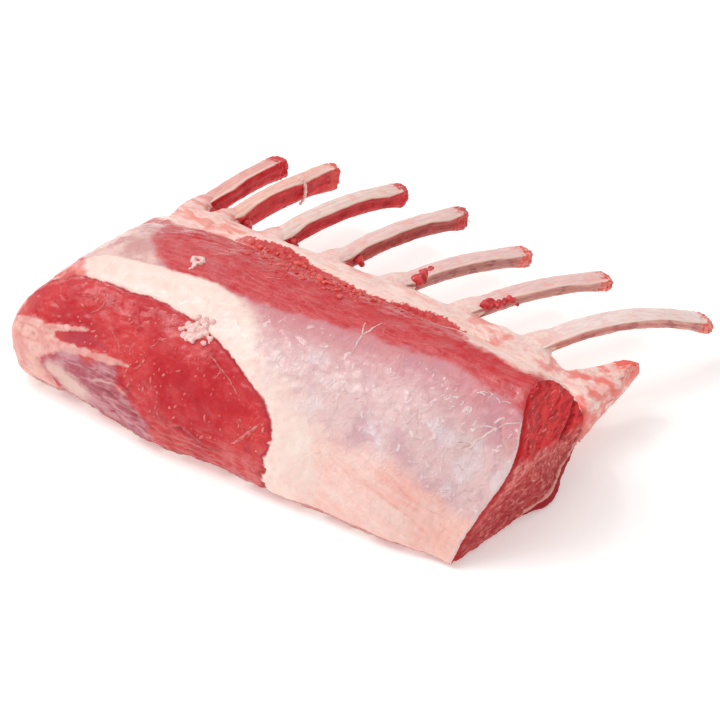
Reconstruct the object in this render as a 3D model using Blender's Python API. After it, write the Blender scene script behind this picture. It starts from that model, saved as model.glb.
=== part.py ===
"""Raw frenched rack of lamb.

The eye of meat lies on a flat base. The rib bed, a wedge of fat and rib meat, runs under its
back edge, and eight rib bones leave the bed. The rack is rounded at its left end and cut
straight at its right end, through the last rib.

Metres, +Z up. X runs along the rack and Y towards the rib tips. Cross-sections are drawn in
(y, z) about a datum line inside the meat, and an empty carries the pieces to the part's own
frame, whose origin is under the middle of the whole box.
"""

import math
from typing import NamedTuple

import bmesh
import bpy
from mathutils import Vector

# Driving dimensions.
LEFT_TIP = -0.115
RIGHT_END = 0.0795
GAP = 0.0003
STATION_PITCH = 0.0075
LOIN_POINTS = 40
BED_POINTS = 32
RIB_POINTS = 12
RIB_PITCH = 0.0065
RIB_ROOT = 0.005

# The left end is rounded about this point of the section, each side within its own reach.
LEFT_AXIS = Vector((-0.020, 0.008))
LEFT_REACH_SIDE = 0.010
LEFT_REACH_UNDER = 0.008
LEFT_REACH_TOP = 0.060
LEFT_RISE_TOP = 0.051
LEFT_TOP_SHARPNESS = 8
LEFT_NOSE = 0.00015
LEFT_TIP_STEPS = (0.0006, 0.002, 0.0045, 0.008, 0.0125)
BED_SET_BACK = 0.005

# The cut eye of meat swells out of its skin, and its foot spreads on the surface it lies on.
SWELL_START = 0.050
SWELLINGS = (
    (0.0080, Vector((-0.028, 0.031)), Vector((0.025, 0.023))),
    (0.0035, Vector((-0.006, 0.000)), Vector((0.022, 0.012))),
)

# The cut turns over at its rim: (out, size) steps about an axis.
RIM_AXIS = Vector((-0.010, 0.022))
RIM = ((0.0014, 0.985), (0.0025, 0.95), (0.0031, 0.86), (0.0033, 0.60))

# The solid that parts the bed from the eye runs on past the right end by this much.
CUTTER_OVERRUN = 0.012


class Station(NamedTuple):
    """The sizes of the cross-section at one place along the rack."""

    x: float
    toe: float
    flank: float
    flank_z: float
    brow: float
    crest: float
    crest_z: float
    shoulder: float
    back: float
    back_z: float
    heel: float
    lip: float
    lip_z: float
    lip_depth: float


STATIONS = (
    Station(-0.115, -0.058, -0.066, 0.021, 0.008, -0.022, 0.047, 0.005, 0.021, 0.027, 0.001, 0.032, 0.0315, 0.013),
    Station(-0.080, -0.058, -0.065, 0.021, 0.009, -0.021, 0.050, 0.005, 0.020, 0.028, 0.001, 0.032, 0.0315, 0.013),
    Station(-0.045, -0.062, -0.065, 0.020, 0.009, -0.018, 0.052, 0.005, 0.020, 0.029, 0.002, 0.035, 0.0305, 0.012),
    Station(-0.010, -0.058, -0.062, 0.018, 0.009, -0.016, 0.052, 0.005, 0.020, 0.029, 0.002, 0.038, 0.0300, 0.012),
    Station(0.045, -0.054, -0.057, 0.014, 0.006, -0.013, 0.053, 0.005, 0.021, 0.026, 0.004, 0.040, 0.0280, 0.011),
    Station(0.079, -0.049, -0.050, 0.006, 0.001, -0.012, 0.053, 0.004, 0.025, 0.018, 0.007, 0.034, 0.0200, 0.009),
)


class Rib(NamedTuple):
    """A rib bone: where it leaves the bed, which way, and how it curves over to its tip."""

    x: float
    y: float
    z: float
    azimuth: float
    length: float
    rise: float
    radius: float
    width: float
    height: float


RIBS = (
    Rib(-0.1035, 0.032, 0.0260, 0.0, 0.0485, 0.14, 0.155, 0.0088, 0.0085),
    Rib(-0.0895, 0.032, 0.0255, 6.0, 0.0575, 0.16, 0.155, 0.0080, 0.0105),
    Rib(-0.0670, 0.032, 0.0260, 11.0, 0.0650, 0.21, 0.126, 0.0085, 0.0085),
    Rib(-0.0400, 0.035, 0.0260, 15.5, 0.0610, 0.21, 0.133, 0.0078, 0.0082),
    Rib(-0.0125, 0.038, 0.0260, 24.5, 0.0550, 0.15, 0.138, 0.0080, 0.0068),
    Rib(0.0165, 0.038, 0.0260, 26.0, 0.0605, 0.165, 0.141, 0.0084, 0.0056),
    Rib(0.0480, 0.037, 0.0250, 28.0, 0.0710, 0.25, 0.095, 0.0098, 0.0052),
    Rib(0.0720, 0.0355, 0.0180, 33.0, 0.0450, 0.12, 0.300, 0.0120, 0.0070),
)
RIB_FLARE = 0.10
RIB_FLARE_SHARE = 0.25
RIB_SQUARENESS = 0.72
TIP_ROUNDING = ((0.0, 1.0), (0.0007, 0.80))

MEAT = ((0.66, 0.13, 0.14, 1.0), 0.38)
FAT = ((0.93, 0.68, 0.60, 1.0), 0.45)
BONE = ((0.82, 0.66, 0.60, 1.0), 0.40)


def ease(share):
    """0 to 1 with level ends."""
    share = min(max(share, 0.0), 1.0)
    return share * share * (3.0 - 2.0 * share)


def quarter_ellipse(distance, reach):
    """0 at distance 0, and 1 from reach on."""
    share = min(max(distance / reach, 0.0), 1.0)
    return math.sqrt(1.0 - (1.0 - share) ** 2)


def station_at(x):
    """The station's sizes anywhere along the rack; past the last one they stay the same."""
    for low, high in zip(STATIONS, STATIONS[1:]):
        if x <= high.x:
            break
    share = ease((x - low.x) / (high.x - low.x))
    return Station(*(a + (b - a) * share for a, b in zip(low, high)))


def bulged(start, end, height):
    """The middle of a chord, pushed out to its left by height."""
    along = (end - start).normalized()
    return (start + end) / 2 + Vector((-along.y, along.x)) * height


def smooth_outline(corners, count):
    """A closed Catmull-Rom curve through the corners, flattened where it would pass the floor."""
    outline = []
    for i in range(count):
        place = i * len(corners) / count
        k = int(place)
        t = place - k
        p0, p1, p2, p3 = (corners[(k + j) % len(corners)] for j in (-1, 0, 1, 2))
        point = p1 + (
            (p2 - p0) * t + (2 * p0 - 5 * p1 + 4 * p2 - p3) * t**2 + (3 * p1 - p0 - 3 * p2 + p3) * t**3
        ) / 2
        outline.append(Vector((point.x, max(point.y, 0.0))))
    return outline


def loin_corners(s):
    """The eye of meat's corners, from the toe over the crest to the heel."""
    toe, flank = Vector((s.toe, 0.0)), Vector((s.flank, s.flank_z))
    crest, back = Vector((s.crest, s.crest_z)), Vector((s.back, s.back_z))
    heel = Vector((s.heel, 0.0))
    under = back + Vector((0.0, -0.009))
    return [
        toe,
        flank,
        bulged(flank, crest, s.brow),
        crest,
        bulged(crest, back, s.shoulder),
        back,
        under,
        bulged(heel, under, -0.002),
        heel,
        (heel + toe) / 2,
    ]


def bed_corners(s):
    """The rib bed's corners. Its inner side lies inside the eye, which is then cut from it."""
    top = Vector((s.lip - 0.004, s.lip_z))
    low = Vector((s.lip - 0.002, s.lip_z - s.lip_depth))
    heel = Vector((s.heel + 0.003, 0.0))
    return [
        Vector((s.heel - 0.008, 0.0)),
        heel,
        bulged(heel, low, -0.001),
        low,
        Vector((s.lip, s.lip_z - s.lip_depth * 0.45)),
        top,
        Vector((s.back - 0.004, s.back_z - 0.001)),
        Vector((s.back - 0.010, s.back_z * 0.5)),
    ]


def rounded_at_left(point, x):
    """A section's point, drawn in towards the left end's axis near the tip."""
    distance = x - LEFT_TIP
    across, above = point - LEFT_AXIS
    across *= quarter_ellipse(distance, LEFT_REACH_SIDE)
    if above < 0:
        return LEFT_AXIS + Vector((across, above * quarter_ellipse(distance, LEFT_REACH_UNDER)))
    ceiling = LEFT_RISE_TOP * quarter_ellipse(distance, LEFT_REACH_TOP)
    sharpness = LEFT_TOP_SHARPNESS
    lowered = above * (1.0 + (above / ceiling) ** sharpness) ** (-1.0 / sharpness)
    return LEFT_AXIS + Vector((across, lowered))


def swell(point, x):
    """How far the muscle stands out of the right end at this point of the section."""
    total = 0.0
    for height, centre, reach in SWELLINGS:
        across, above = (point.x - centre.x) / reach.x, (point.y - centre.y) / reach.y
        total += height * math.exp(-across**2 - above**2)
    return total * ease((x - SWELL_START) / (RIGHT_END - SWELL_START))


def places_along(first, last):
    """Places along the rack, closer together at its rounded left end."""
    tip = [LEFT_TIP + step for step in LEFT_TIP_STEPS if LEFT_TIP + step > first]
    start = tip[-1]
    count = math.ceil((last - start) / STATION_PITCH)
    return [first] + tip + [start + (last - start) * i / count for i in range(1, count + 1)]


def add_object(bm, name, collection):
    """A new object that holds the bmesh, with its faces pointing out."""
    bmesh.ops.recalc_face_normals(bm, faces=bm.faces)
    mesh = bpy.data.meshes.new(name)
    bm.to_mesh(mesh)
    bm.free()
    obj = bpy.data.objects.new(name, mesh)
    collection.objects.link(obj)
    return obj


def loft(rings, name, collection):
    """A closed surface over rings of points, with a fan at each end."""
    bm = bmesh.new()
    loops = [[bm.verts.new(point) for point in ring] for ring in rings]
    for one, other in zip(loops, loops[1:]):
        for i in range(len(one)):
            j = (i + 1) % len(one)
            bm.faces.new((one[i], one[j], other[j], other[i]))
    for ring, loop in ((rings[0], loops[0]), (rings[-1], loops[-1])):
        centre = bm.verts.new(sum(ring, Vector()) / len(ring))
        for i in range(len(loop)):
            bm.faces.new((loop[i], loop[(i + 1) % len(loop)], centre))
    return add_object(bm, name, collection)


def loin_ring(x):
    """The eye's outline at a place along the rack."""
    outline = smooth_outline(loin_corners(station_at(x)), LOIN_POINTS)
    points = [rounded_at_left(p, x) for p in outline]
    return [Vector((x + swell(p, x), p.x, p.y)) for p in points]


def make_loin(collection):
    """The eye of meat, rounded at the left and cut at the right."""
    rim_start = RIGHT_END - RIM[-1][0]
    rings = [loin_ring(x) for x in places_along(LEFT_TIP + LEFT_NOSE, rim_start)]
    rim = rings[-1]
    for out, size in RIM:
        shrunk = [RIM_AXIS + (p.yz - RIM_AXIS) * size for p in rim]
        rings.append([Vector((p.x + out, *q)) for p, q in zip(rim, shrunk)])
    return loft(rings, "loin", collection)


def make_loin_cutter(collection):
    """The eye's own shape, wider by the gap, that runs on past the bed's right end."""
    places = places_along(LEFT_TIP + LEFT_NOSE, RIGHT_END)
    rings = [loin_ring(x) for x in places]
    for ring, x in zip(rings, places):
        for point in ring:
            point.x = x
    rings.append([point + Vector((CUTTER_OVERRUN, 0.0, 0.0)) for point in rings[-1]])
    cutter = loft(rings, "loin_cutter", collection)
    widen(cutter)
    return cutter


def widen(cutter):
    """Pushes a cutter's surface out by the gap, and keeps it out of the build."""
    displace = cutter.modifiers.new("gap", "DISPLACE")
    displace.strength = GAP
    displace.mid_level = 0.0
    cutter.hide_render = True
    cutter.display_type = "WIRE"


def make_bed(collection, cutters):
    """The wedge of fat and rib meat, cut by the eye that lies on it and by the ribs' roots."""
    rings = []
    for x in places_along(LEFT_TIP + BED_SET_BACK, RIGHT_END):
        outline = smooth_outline(bed_corners(station_at(x)), BED_POINTS)
        points = [rounded_at_left(p, x) for p in outline]
        rings.append([Vector((x, p.x, p.y)) for p in points])
    bed = loft(rings, "rib_bed", collection)
    for cutter in cutters:
        cut = bed.modifiers.new(cutter.name, "BOOLEAN")
        cut.operation = "DIFFERENCE"
        cut.object = cutter
    return bed


def rib_section(rib, place, side, up, size):
    """A rounded rectangle about a place on the rib's axis."""
    ring = []
    for k in range(RIB_POINTS):
        angle = 2 * math.pi * (k + 0.5) / RIB_POINTS
        across = math.copysign(abs(math.cos(angle)) ** RIB_SQUARENESS, math.cos(angle))
        above = math.copysign(abs(math.sin(angle)) ** RIB_SQUARENESS, math.sin(angle))
        ring.append(place + side * (across * rib.width * size / 2) + up * (above * rib.height * size / 2))
    return ring


def make_rib(name, rib, collection):
    """A rib bone that rises out of the bed and curves over, a little thicker at its tip."""
    turn = math.radians(rib.azimuth)
    out = Vector((math.sin(turn), math.cos(turn), 0.0))
    side = Vector((out.y, -out.x, 0.0))
    count = math.ceil((rib.length + RIB_ROOT) / RIB_PITCH)
    steps = [(-RIB_ROOT + (rib.length + RIB_ROOT) * i / count, 1.0) for i in range(count)]
    steps += [(rib.length + beyond, size) for beyond, size in TIP_ROUNDING]
    rings = []
    for t, size in steps:
        place = Vector((rib.x, rib.y, rib.z + rib.rise * t - t * t / (2 * rib.radius))) + out * t
        tangent = (out + Vector((0.0, 0.0, rib.rise - t / rib.radius))).normalized()
        flare = 1.0 + RIB_FLARE * ease((t / rib.length - 1.0 + RIB_FLARE_SHARE) / RIB_FLARE_SHARE)
        rings.append(rib_section(rib, place, side, side.cross(tangent), size * flare))
    return loft(rings, name, collection)


def make_rib_cutter(name, rib, collection):
    """A rib with the gap round it."""
    cutter = make_rib(f"{name}_cutter", rib, collection)
    widen(cutter)
    return cutter


def trim_at_end(rib):
    """Cuts the last rib off flush with the right end and closes it there."""
    bm = bmesh.new()
    bm.from_mesh(rib.data)
    place, across = Vector((RIGHT_END, 0.0, 0.0)), Vector((1.0, 0.0, 0.0))
    whole = bm.verts[:] + bm.edges[:] + bm.faces[:]
    bmesh.ops.bisect_plane(bm, geom=whole, plane_co=place, plane_no=across, clear_outer=True)
    bmesh.ops.holes_fill(bm, edges=[edge for edge in bm.edges if edge.is_boundary])
    bm.to_mesh(rib.data)
    bm.free()


def dress(obj, finish):
    """Gives a piece its own plain material."""
    colour, roughness = finish
    material = bpy.data.materials.new(obj.name)
    material.use_nodes = True
    shader = material.node_tree.nodes["Principled BSDF"]
    shader.inputs["Base Color"].default_value = colour
    shader.inputs["Roughness"].default_value = roughness
    shader.inputs["Metallic"].default_value = 0.0
    obj.data.materials.append(material)


def stand_on_frame(pieces, collection):
    """Hangs the pieces on an empty that moves the datum under the middle of the box."""
    corners = [piece.matrix_world @ vertex.co for piece in pieces for vertex in piece.data.vertices]
    low, high = (Vector(pick(axis) for axis in zip(*corners)) for pick in (min, max))
    frame = bpy.data.objects.new("rack_frame", None)
    frame.location = (-(low.x + high.x) / 2, -(low.y + high.y) / 2, -low.z)
    collection.objects.link(frame)
    return frame


def main():
    for obj in list(bpy.data.objects):
        bpy.data.objects.remove(obj)
    rack = bpy.data.collections.new("rack_of_lamb")
    tools = bpy.data.collections.new("cutters")
    for collection in (rack, tools):
        bpy.context.scene.collection.children.link(collection)

    loin = make_loin(rack)
    dress(loin, MEAT)
    ribs = []
    cutters = [make_loin_cutter(tools)]
    for number, rib in enumerate(RIBS, 1):
        name = f"rib_{number}"
        ribs.append(make_rib(name, rib, rack))
        cutters.append(make_rib_cutter(name, rib, tools))
        dress(ribs[-1], BONE)
    trim_at_end(ribs[-1])
    bed = make_bed(rack, cutters)
    dress(bed, FAT)

    pieces = [loin, bed, *ribs]
    frame = stand_on_frame(pieces, rack)
    for piece in pieces + cutters:
        piece.parent = frame


main()
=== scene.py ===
"""Finished surfaces for a raw rack of lamb.

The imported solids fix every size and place. Each one is replaced by a dense mesh of the same form, on which
the fat, the silverskin, the lean and the bone get their relief and their finish. Lengths are metres, and
places on the unrolled skin of the loin are millimetres.
"""

import logging
import math
from collections.abc import Sequence
from dataclasses import dataclass, field
from enum import Enum
from typing import Any

import bmesh
import bpy
import numpy as np
from mathutils import Matrix, Vector, kdtree, noise


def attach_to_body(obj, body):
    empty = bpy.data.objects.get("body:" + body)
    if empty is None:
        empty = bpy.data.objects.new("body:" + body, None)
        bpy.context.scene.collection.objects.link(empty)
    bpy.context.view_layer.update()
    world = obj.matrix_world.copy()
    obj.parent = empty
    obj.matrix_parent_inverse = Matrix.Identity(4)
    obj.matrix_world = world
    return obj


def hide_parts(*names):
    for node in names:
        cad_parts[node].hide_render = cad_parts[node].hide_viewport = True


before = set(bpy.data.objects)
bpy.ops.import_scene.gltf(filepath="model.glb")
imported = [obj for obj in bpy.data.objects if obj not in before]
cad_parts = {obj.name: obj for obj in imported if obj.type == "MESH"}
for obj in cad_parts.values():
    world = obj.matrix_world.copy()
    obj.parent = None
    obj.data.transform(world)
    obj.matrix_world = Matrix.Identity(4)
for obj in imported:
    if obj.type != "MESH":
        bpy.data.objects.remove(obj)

LOG = logging.getLogger("rack_of_lamb")
BODY = "root"
MM = 0.001

Array = np.ndarray
Pair = tuple[float, float]
Colour = tuple[float, float, float, float]


class Slot(Enum):
    """The record's material slots."""

    MEAT = "meat"
    FAT = "fat"
    BONE = "bone"


# ---------------------------------------------------------------- numbers


def tint(red: float, green: float, blue: float) -> Colour:
    """Turns a display colour of 0 to 255 into a linear colour.

    Args:
        red: red part.
        green: green part.
        blue: blue part.

    Returns:
        The linear colour with full alpha.
    """
    parts = [part / 255 for part in (red, green, blue)]
    linear = [part / 12.92 if part < 0.04045 else ((part + 0.055) / 1.055) ** 2.4 for part in parts]
    return (*linear, 1.0)


def smooth(low: float, high: float, value: Array) -> Array:
    """Rises smoothly from 0 at low to 1 at high, or falls when high is below low."""
    ramp = np.clip((value - low) / (high - low), 0, 1)
    return ramp * ramp * (3 - 2 * ramp)


def bell(value: Array, width: float) -> Array:
    """A soft bump of height 1 around zero."""
    return np.exp(-((value / width) ** 2))


def lumps(places: Array, size: float | Sequence[float], seed: int, octaves: int = 2) -> Array:
    """Seeded fractal noise.

    Args:
        places: one row a place.
        size: how far apart the lumps are, one length or one for each axis.
        seed: moves the pattern elsewhere.
        octaves: how many finer layers it has.

    Returns:
        About -1 to 1 for each place.
    """
    shift = Vector((seed * 7.31, seed * -3.17, seed * 5.03))
    scaled = places / np.asarray(size)
    if scaled.shape[1] == 2:
        scaled = np.column_stack((scaled, np.zeros(len(scaled))))
    return np.array([noise.fractal(Vector(place) + shift, 0.9, 2.0, octaves) for place in scaled])


def rounded(points: Sequence[Pair], steps: int = 6, closed: bool = False) -> Array:
    """Runs a smooth curve through a few points.

    Args:
        points: the points, in order.
        steps: stretches between two neighbours.
        closed: whether the last point joins the first.

    Returns:
        The points of the curve, one row each.
    """
    knots = np.array(points, float)
    if closed:
        knots = np.vstack((knots[-1], knots, knots[:2]))
    else:
        knots = np.vstack((2 * knots[0] - knots[1], knots, 2 * knots[-1] - knots[-2]))
    curve = []
    for before, start, end, after in zip(knots, knots[1:], knots[2:], knots[3:], strict=False):
        for step in range(steps):
            t = step / steps
            curve.append(
                0.5
                * (
                    2 * start
                    + (end - before) * t
                    + (2 * before - 5 * start + 4 * end - after) * t**2
                    + (3 * start - before - 3 * end + after) * t**3
                )
            )
    curve.append(knots[-2])
    return np.array(curve)


def nearest_on(curve: Array, places: Array) -> tuple[Array, Array, Array]:
    """Finds the nearest point of a curve to each place.

    Args:
        curve: points of an open curve in the plane.
        places: places in the same plane.

    Returns:
        The distance, the side (positive to the left of the curve) and how far along it is, 0 to 1.
    """
    start, run = curve[:-1], np.diff(curve, axis=0)
    best = np.full(len(places), np.inf)
    side = np.zeros(len(places))
    along = np.zeros(len(places))
    for index, (origin, step) in enumerate(zip(start, run, strict=True)):
        offset = places - origin
        t = np.clip(offset @ step / max(step @ step, 1e-12), 0, 1)
        gap = np.hypot(*(offset - t[:, None] * step).T)
        closer = gap < best
        best = np.where(closer, gap, best)
        side = np.where(closer, np.sign(step[0] * offset[:, 1] - step[1] * offset[:, 0]), side)
        along = np.where(closer, (index + t) / len(run), along)
    return best, side, along


def beyond(points: Sequence[Pair], places: Array) -> Array:
    """Signed distance from a rounded open line, positive on its left side."""
    gap, side, _ = nearest_on(rounded(points), places)
    return gap * side


def within(points: Sequence[Pair], places: Array) -> Array:
    """Signed depth inside a rounded closed outline, positive inside.

    Args:
        points: corners of the outline.
        places: places in the same plane.

    Returns:
        The depth of each place.
    """
    curve = rounded(points, steps=4, closed=True)
    gap, _, _ = nearest_on(curve, places)
    inside = np.zeros(len(places), bool)
    x, y = places.T
    for (ax, ay), (bx, by) in zip(curve, curve[1:], strict=False):
        crosses = (ay > y) != (by > y)
        inside ^= crosses & (x < (bx - ax) * (y - ay) / (by - ay + 1e-12) + ax)
    return np.where(inside, gap, -gap)


# ---------------------------------------------------------------- meshes


class Skin:
    """A dense closed mesh that is sculpted as arrays."""

    def __init__(self, name: str, shells: Sequence[bpy.types.Mesh], grid: float) -> None:
        """Wraps closed shells in one even mesh.

        Args:
            name: name of the piece.
            shells: closed meshes, which may run into each other.
            grid: edge length of the even mesh.
        """
        joined = bmesh.new()
        for shell in shells:
            joined.from_mesh(shell)
        bmesh.ops.remove_doubles(joined, verts=joined.verts, dist=0.01 * MM)
        source = bpy.data.meshes.new(f"{name}_source")
        joined.to_mesh(source)
        joined.free()
        draft = bpy.data.objects.new(f"{name}_draft", source)
        bpy.context.scene.collection.objects.link(draft)
        wrap = draft.modifiers.new("wrap", "REMESH")
        wrap.mode = "VOXEL"
        wrap.voxel_size = grid
        graph = bpy.context.evaluated_depsgraph_get()
        self.mesh = bpy.data.meshes.new_from_object(draft.evaluated_get(graph))
        bpy.data.objects.remove(draft)
        bpy.data.meshes.remove(source)
        self.name = name
        self.mesh.name = name
        self.points = self._read(self.mesh.vertices, "co", 3)
        self.edges = self._read(self.mesh.edges, "vertices", 2, np.int32)
        ends = self.edges.ravel()
        self.neighbours = np.maximum(np.bincount(ends, minlength=len(self.points)), 1)

    @staticmethod
    def _read(items: Any, key: str, width: int, kind: type = np.float32) -> Array:
        """Reads one value of every item of a mesh."""
        values = np.empty(len(items) * width, kind)
        items.foreach_get(key, values)
        return values.reshape(-1, width).astype(float if kind is np.float32 else int)

    def _write(self) -> None:
        """Puts the points back in the mesh."""
        self.mesh.vertices.foreach_set("co", self.points.astype(np.float32).ravel())
        self.mesh.update()

    def spread(self, values: Array) -> Array:
        """Averages values over each point's neighbours."""
        first, second = self.edges.T
        columns = np.atleast_2d(values.T)
        count = len(self.points)
        sums = [
            np.bincount(first, column[second], count) + np.bincount(second, column[first], count)
            for column in columns
        ]
        return (np.array(sums) / self.neighbours).T.reshape(values.shape)

    def relax(self, rounds: int, strength: float | Array = 0.5) -> None:
        """Evens out the surface.

        Args:
            rounds: how many times.
            strength: how far each point goes towards its neighbours, one number or one a point.
        """
        pull = np.broadcast_to(np.asarray(strength, float), (len(self.points),))[:, None]
        for _ in range(rounds):
            self.points += pull * (self.spread(self.points) - self.points)

    def normals(self) -> Array:
        """The direction that each point faces."""
        self._write()
        return self._read(self.mesh.vertices, "normal", 3)

    def lift(self, height: Array) -> None:
        """Moves every point along its normal."""
        self.points += self.normals() * height[:, None]

    def keep_above_floor(self) -> None:
        """Stops the relief at the surface that the rack rests on."""
        self.points[:, 2] = np.maximum(self.points[:, 2], 0)

    def mark(self, name: str, values: Array) -> None:
        """Stores a value, or a vector, on every point for the finish to read."""
        kind = "FLOAT" if values.ndim == 1 else "FLOAT_VECTOR"
        layer = self.mesh.attributes.new(name, kind, "POINT")
        layer.data.foreach_set("value" if kind == "FLOAT" else "vector", values.astype(np.float32).ravel())

    def place(self, finish: bpy.types.Material, slot: Slot, *nodes: str) -> bpy.types.Object:
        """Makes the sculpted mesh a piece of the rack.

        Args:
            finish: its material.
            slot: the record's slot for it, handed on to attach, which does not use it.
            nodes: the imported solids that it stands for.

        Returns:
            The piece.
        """
        self._write()
        self.mesh.materials.clear()
        self.mesh.materials.append(finish)
        self.mesh.shade_smooth()
        piece = bpy.data.objects.new(self.name, self.mesh)
        return attach(piece, slot, *nodes)


def attach(piece: bpy.types.Object, slot: Slot, *nodes: str) -> bpy.types.Object:
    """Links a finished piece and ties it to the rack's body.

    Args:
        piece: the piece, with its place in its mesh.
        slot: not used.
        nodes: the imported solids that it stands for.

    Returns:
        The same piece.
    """
    bpy.context.scene.collection.objects.link(piece)
    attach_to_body(piece, BODY)
    if nodes:
        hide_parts(*nodes)
    LOG.info("%s: %d faces", piece.name, len(piece.data.polygons))
    return piece


def node_mesh(name: str) -> bpy.types.Mesh:
    """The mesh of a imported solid."""
    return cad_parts[name].data


# ---------------------------------------------------------------- finishes


class Wire:
    """An output of a finish's node tree that takes part in arithmetic."""

    def __init__(self, finish: "Finish", socket: bpy.types.NodeSocket | None) -> None:
        """Wraps a socket, or nothing for a node that ends the tree."""
        self.finish = finish
        self.socket = socket

    def _math(self, operation: str, left: "Wire | float", right: "Wire | float") -> "Wire":
        """Adds one Math node."""
        return self.finish.node("ShaderNodeMath", {"operation": operation}, {0: left, 1: right})

    def __add__(self, other: "Wire | float") -> "Wire":
        """self + other."""
        return self._math("ADD", self, other)

    __radd__ = __add__

    def __sub__(self, other: "Wire | float") -> "Wire":
        """self - other."""
        return self._math("SUBTRACT", self, other)

    def __rsub__(self, other: "Wire | float") -> "Wire":
        """other - self."""
        return self._math("SUBTRACT", other, self)

    def __mul__(self, other: "Wire | float") -> "Wire":
        """self * other."""
        return self._math("MULTIPLY", self, other)

    __rmul__ = __mul__

    def rise(self, low: float, high: float) -> "Wire":
        """Rises smoothly from 0 at low to 1 at high, or falls when high is below low."""
        upward = high > low
        return self.finish.node(
            "ShaderNodeMapRange",
            {"interpolation_type": "SMOOTHSTEP"},
            {
                "Value": self,
                "From Min": min(low, high),
                "From Max": max(low, high),
                "To Min": 0.0 if upward else 1.0,
                "To Max": 1.0 if upward else 0.0,
            },
        )


@dataclass(frozen=True)
class Body:
    """The parts of a finish that are the same all over a piece."""

    subsurface: float = 0.12
    scatter: float = 0.003
    coat_roughness: float = 0.2
    specular: float = 0.5
    bump: float = 0.5


class Finish:
    """One procedural material, built from wires."""

    def __init__(self, name: str) -> None:
        """Starts an empty node tree.

        Args:
            name: name of the material.
        """
        self.material = bpy.data.materials.new(name)
        self.material.use_nodes = True
        self.tree = self.material.node_tree
        self.tree.nodes.clear()

    def node(
        self,
        kind: str,
        settings: dict[str, Any] | None = None,
        values: dict[str | int, Any] | None = None,
        output: str | int = 0,
    ) -> Wire:
        """Adds one node.

        Args:
            kind: the node's type.
            settings: its properties, set first.
            values: numbers, colours or wires for its inputs.
            output: which output to return.

        Returns:
            The wanted output.
        """
        made = self.tree.nodes.new(kind)
        for key, value in (settings or {}).items():
            setattr(made, key, value)
        for key, value in (values or {}).items():
            if isinstance(value, Wire):
                self.tree.links.new(value.socket, made.inputs[key])
            else:
                made.inputs[key].default_value = value
        return Wire(self, made.outputs[output] if made.outputs else None)

    def place(self) -> Wire:
        """The place on the rack, in metres."""
        return self.node("ShaderNodeTexCoord", output="Object")

    def mark(self, name: str, output: str = "Fac") -> Wire:
        """A value stored on the mesh."""
        return self.node("ShaderNodeAttribute", {"attribute_name": name}, output=output)

    def grain(
        self, where: Wire, size: float | Sequence[float], detail: float = 3, shift: float = 0, warp: float = 0
    ) -> Wire:
        """Cloudy noise of about 0.3 to 0.7.

        Args:
            where: the coordinates.
            size: size of its clouds, one length or one for each axis.
            detail: how many finer layers it has.
            shift: moves the pattern elsewhere.
            warp: how far it is bent.

        Returns:
            The noise.
        """
        lengths = (size,) * 3 if isinstance(size, (int, float)) else size
        scaled = self.node(
            "ShaderNodeVectorMath",
            {"operation": "MULTIPLY_ADD"},
            {0: where, 1: tuple(1 / length for length in lengths), 2: (shift, shift * 0.7, -shift)},
        )
        return self.node(
            "ShaderNodeTexNoise", {}, {"Vector": scaled, "Scale": 1.0, "Detail": detail, "Distortion": warp}
        )

    def cells(self, where: Wire, size: float | Sequence[float], feature: str = "DISTANCE_TO_EDGE") -> Wire:
        """Distance within cells, in parts of their size.

        Args:
            where: the coordinates.
            size: size of the cells.
            feature: which distance.

        Returns:
            The distance.
        """
        lengths = (size,) * 3 if isinstance(size, (int, float)) else size
        scaled = self.node(
            "ShaderNodeVectorMath", {"operation": "MULTIPLY"}, {0: where, 1: tuple(1 / length for length in lengths)}
        )
        return self.node("ShaderNodeTexVoronoi", {"feature": feature}, {"Vector": scaled, "Scale": 1.0})

    def bent(self, where: Wire, size: float) -> Wire:
        """Bends coordinates with soft noise, so that lines on them wander.

        Args:
            where: the coordinates.
            size: how far they are bent.

        Returns:
            The bent coordinates.
        """
        sway = self.node("ShaderNodeTexNoise", {}, {"Vector": where, "Scale": 0.16, "Detail": 3.0}, "Color")
        return self.node("ShaderNodeVectorMath", {"operation": "MULTIPLY_ADD"}, {0: sway, 1: (size * 6,) * 3, 2: where})

    def mix(self, share: Wire | float, first: Wire | Colour, second: Wire | Colour) -> Wire:
        """Blends two colours.

        Args:
            share: 0 for the first, 1 for the second.
            first: a colour.
            second: a colour.

        Returns:
            The blend.
        """
        return self.node("ShaderNodeMix", {"data_type": "RGBA"}, {0: share, 6: first, 7: second}, output=2)

    def seal(self, colour: Wire, roughness: Wire, coat: Wire, relief: Wire, body: Body) -> bpy.types.Material:
        """Joins everything in the shader.

        Args:
            colour: base colour.
            roughness: roughness.
            coat: how wet the surface is.
            relief: fine height, in millimetres.
            body: the constant values.

        Returns:
            The material.
        """
        bump = self.node("ShaderNodeBump", {}, {"Height": relief, "Distance": MM, "Strength": body.bump}, "Normal")
        shader = self.node(
            "ShaderNodeBsdfPrincipled",
            {"subsurface_method": "RANDOM_WALK"},
            {
                "Base Color": colour,
                "Roughness": roughness,
                "Coat Weight": coat,
                "Coat Roughness": body.coat_roughness,
                "Subsurface Weight": body.subsurface,
                "Subsurface Radius": (1.0, 0.35, 0.25),
                "Subsurface Scale": body.scatter,
                "Specular IOR Level": body.specular,
                "Normal": bump,
            },
        )
        self.node("ShaderNodeOutputMaterial", {}, {"Surface": shader})
        return self.material


# ---------------------------------------------------------------- studio


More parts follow.
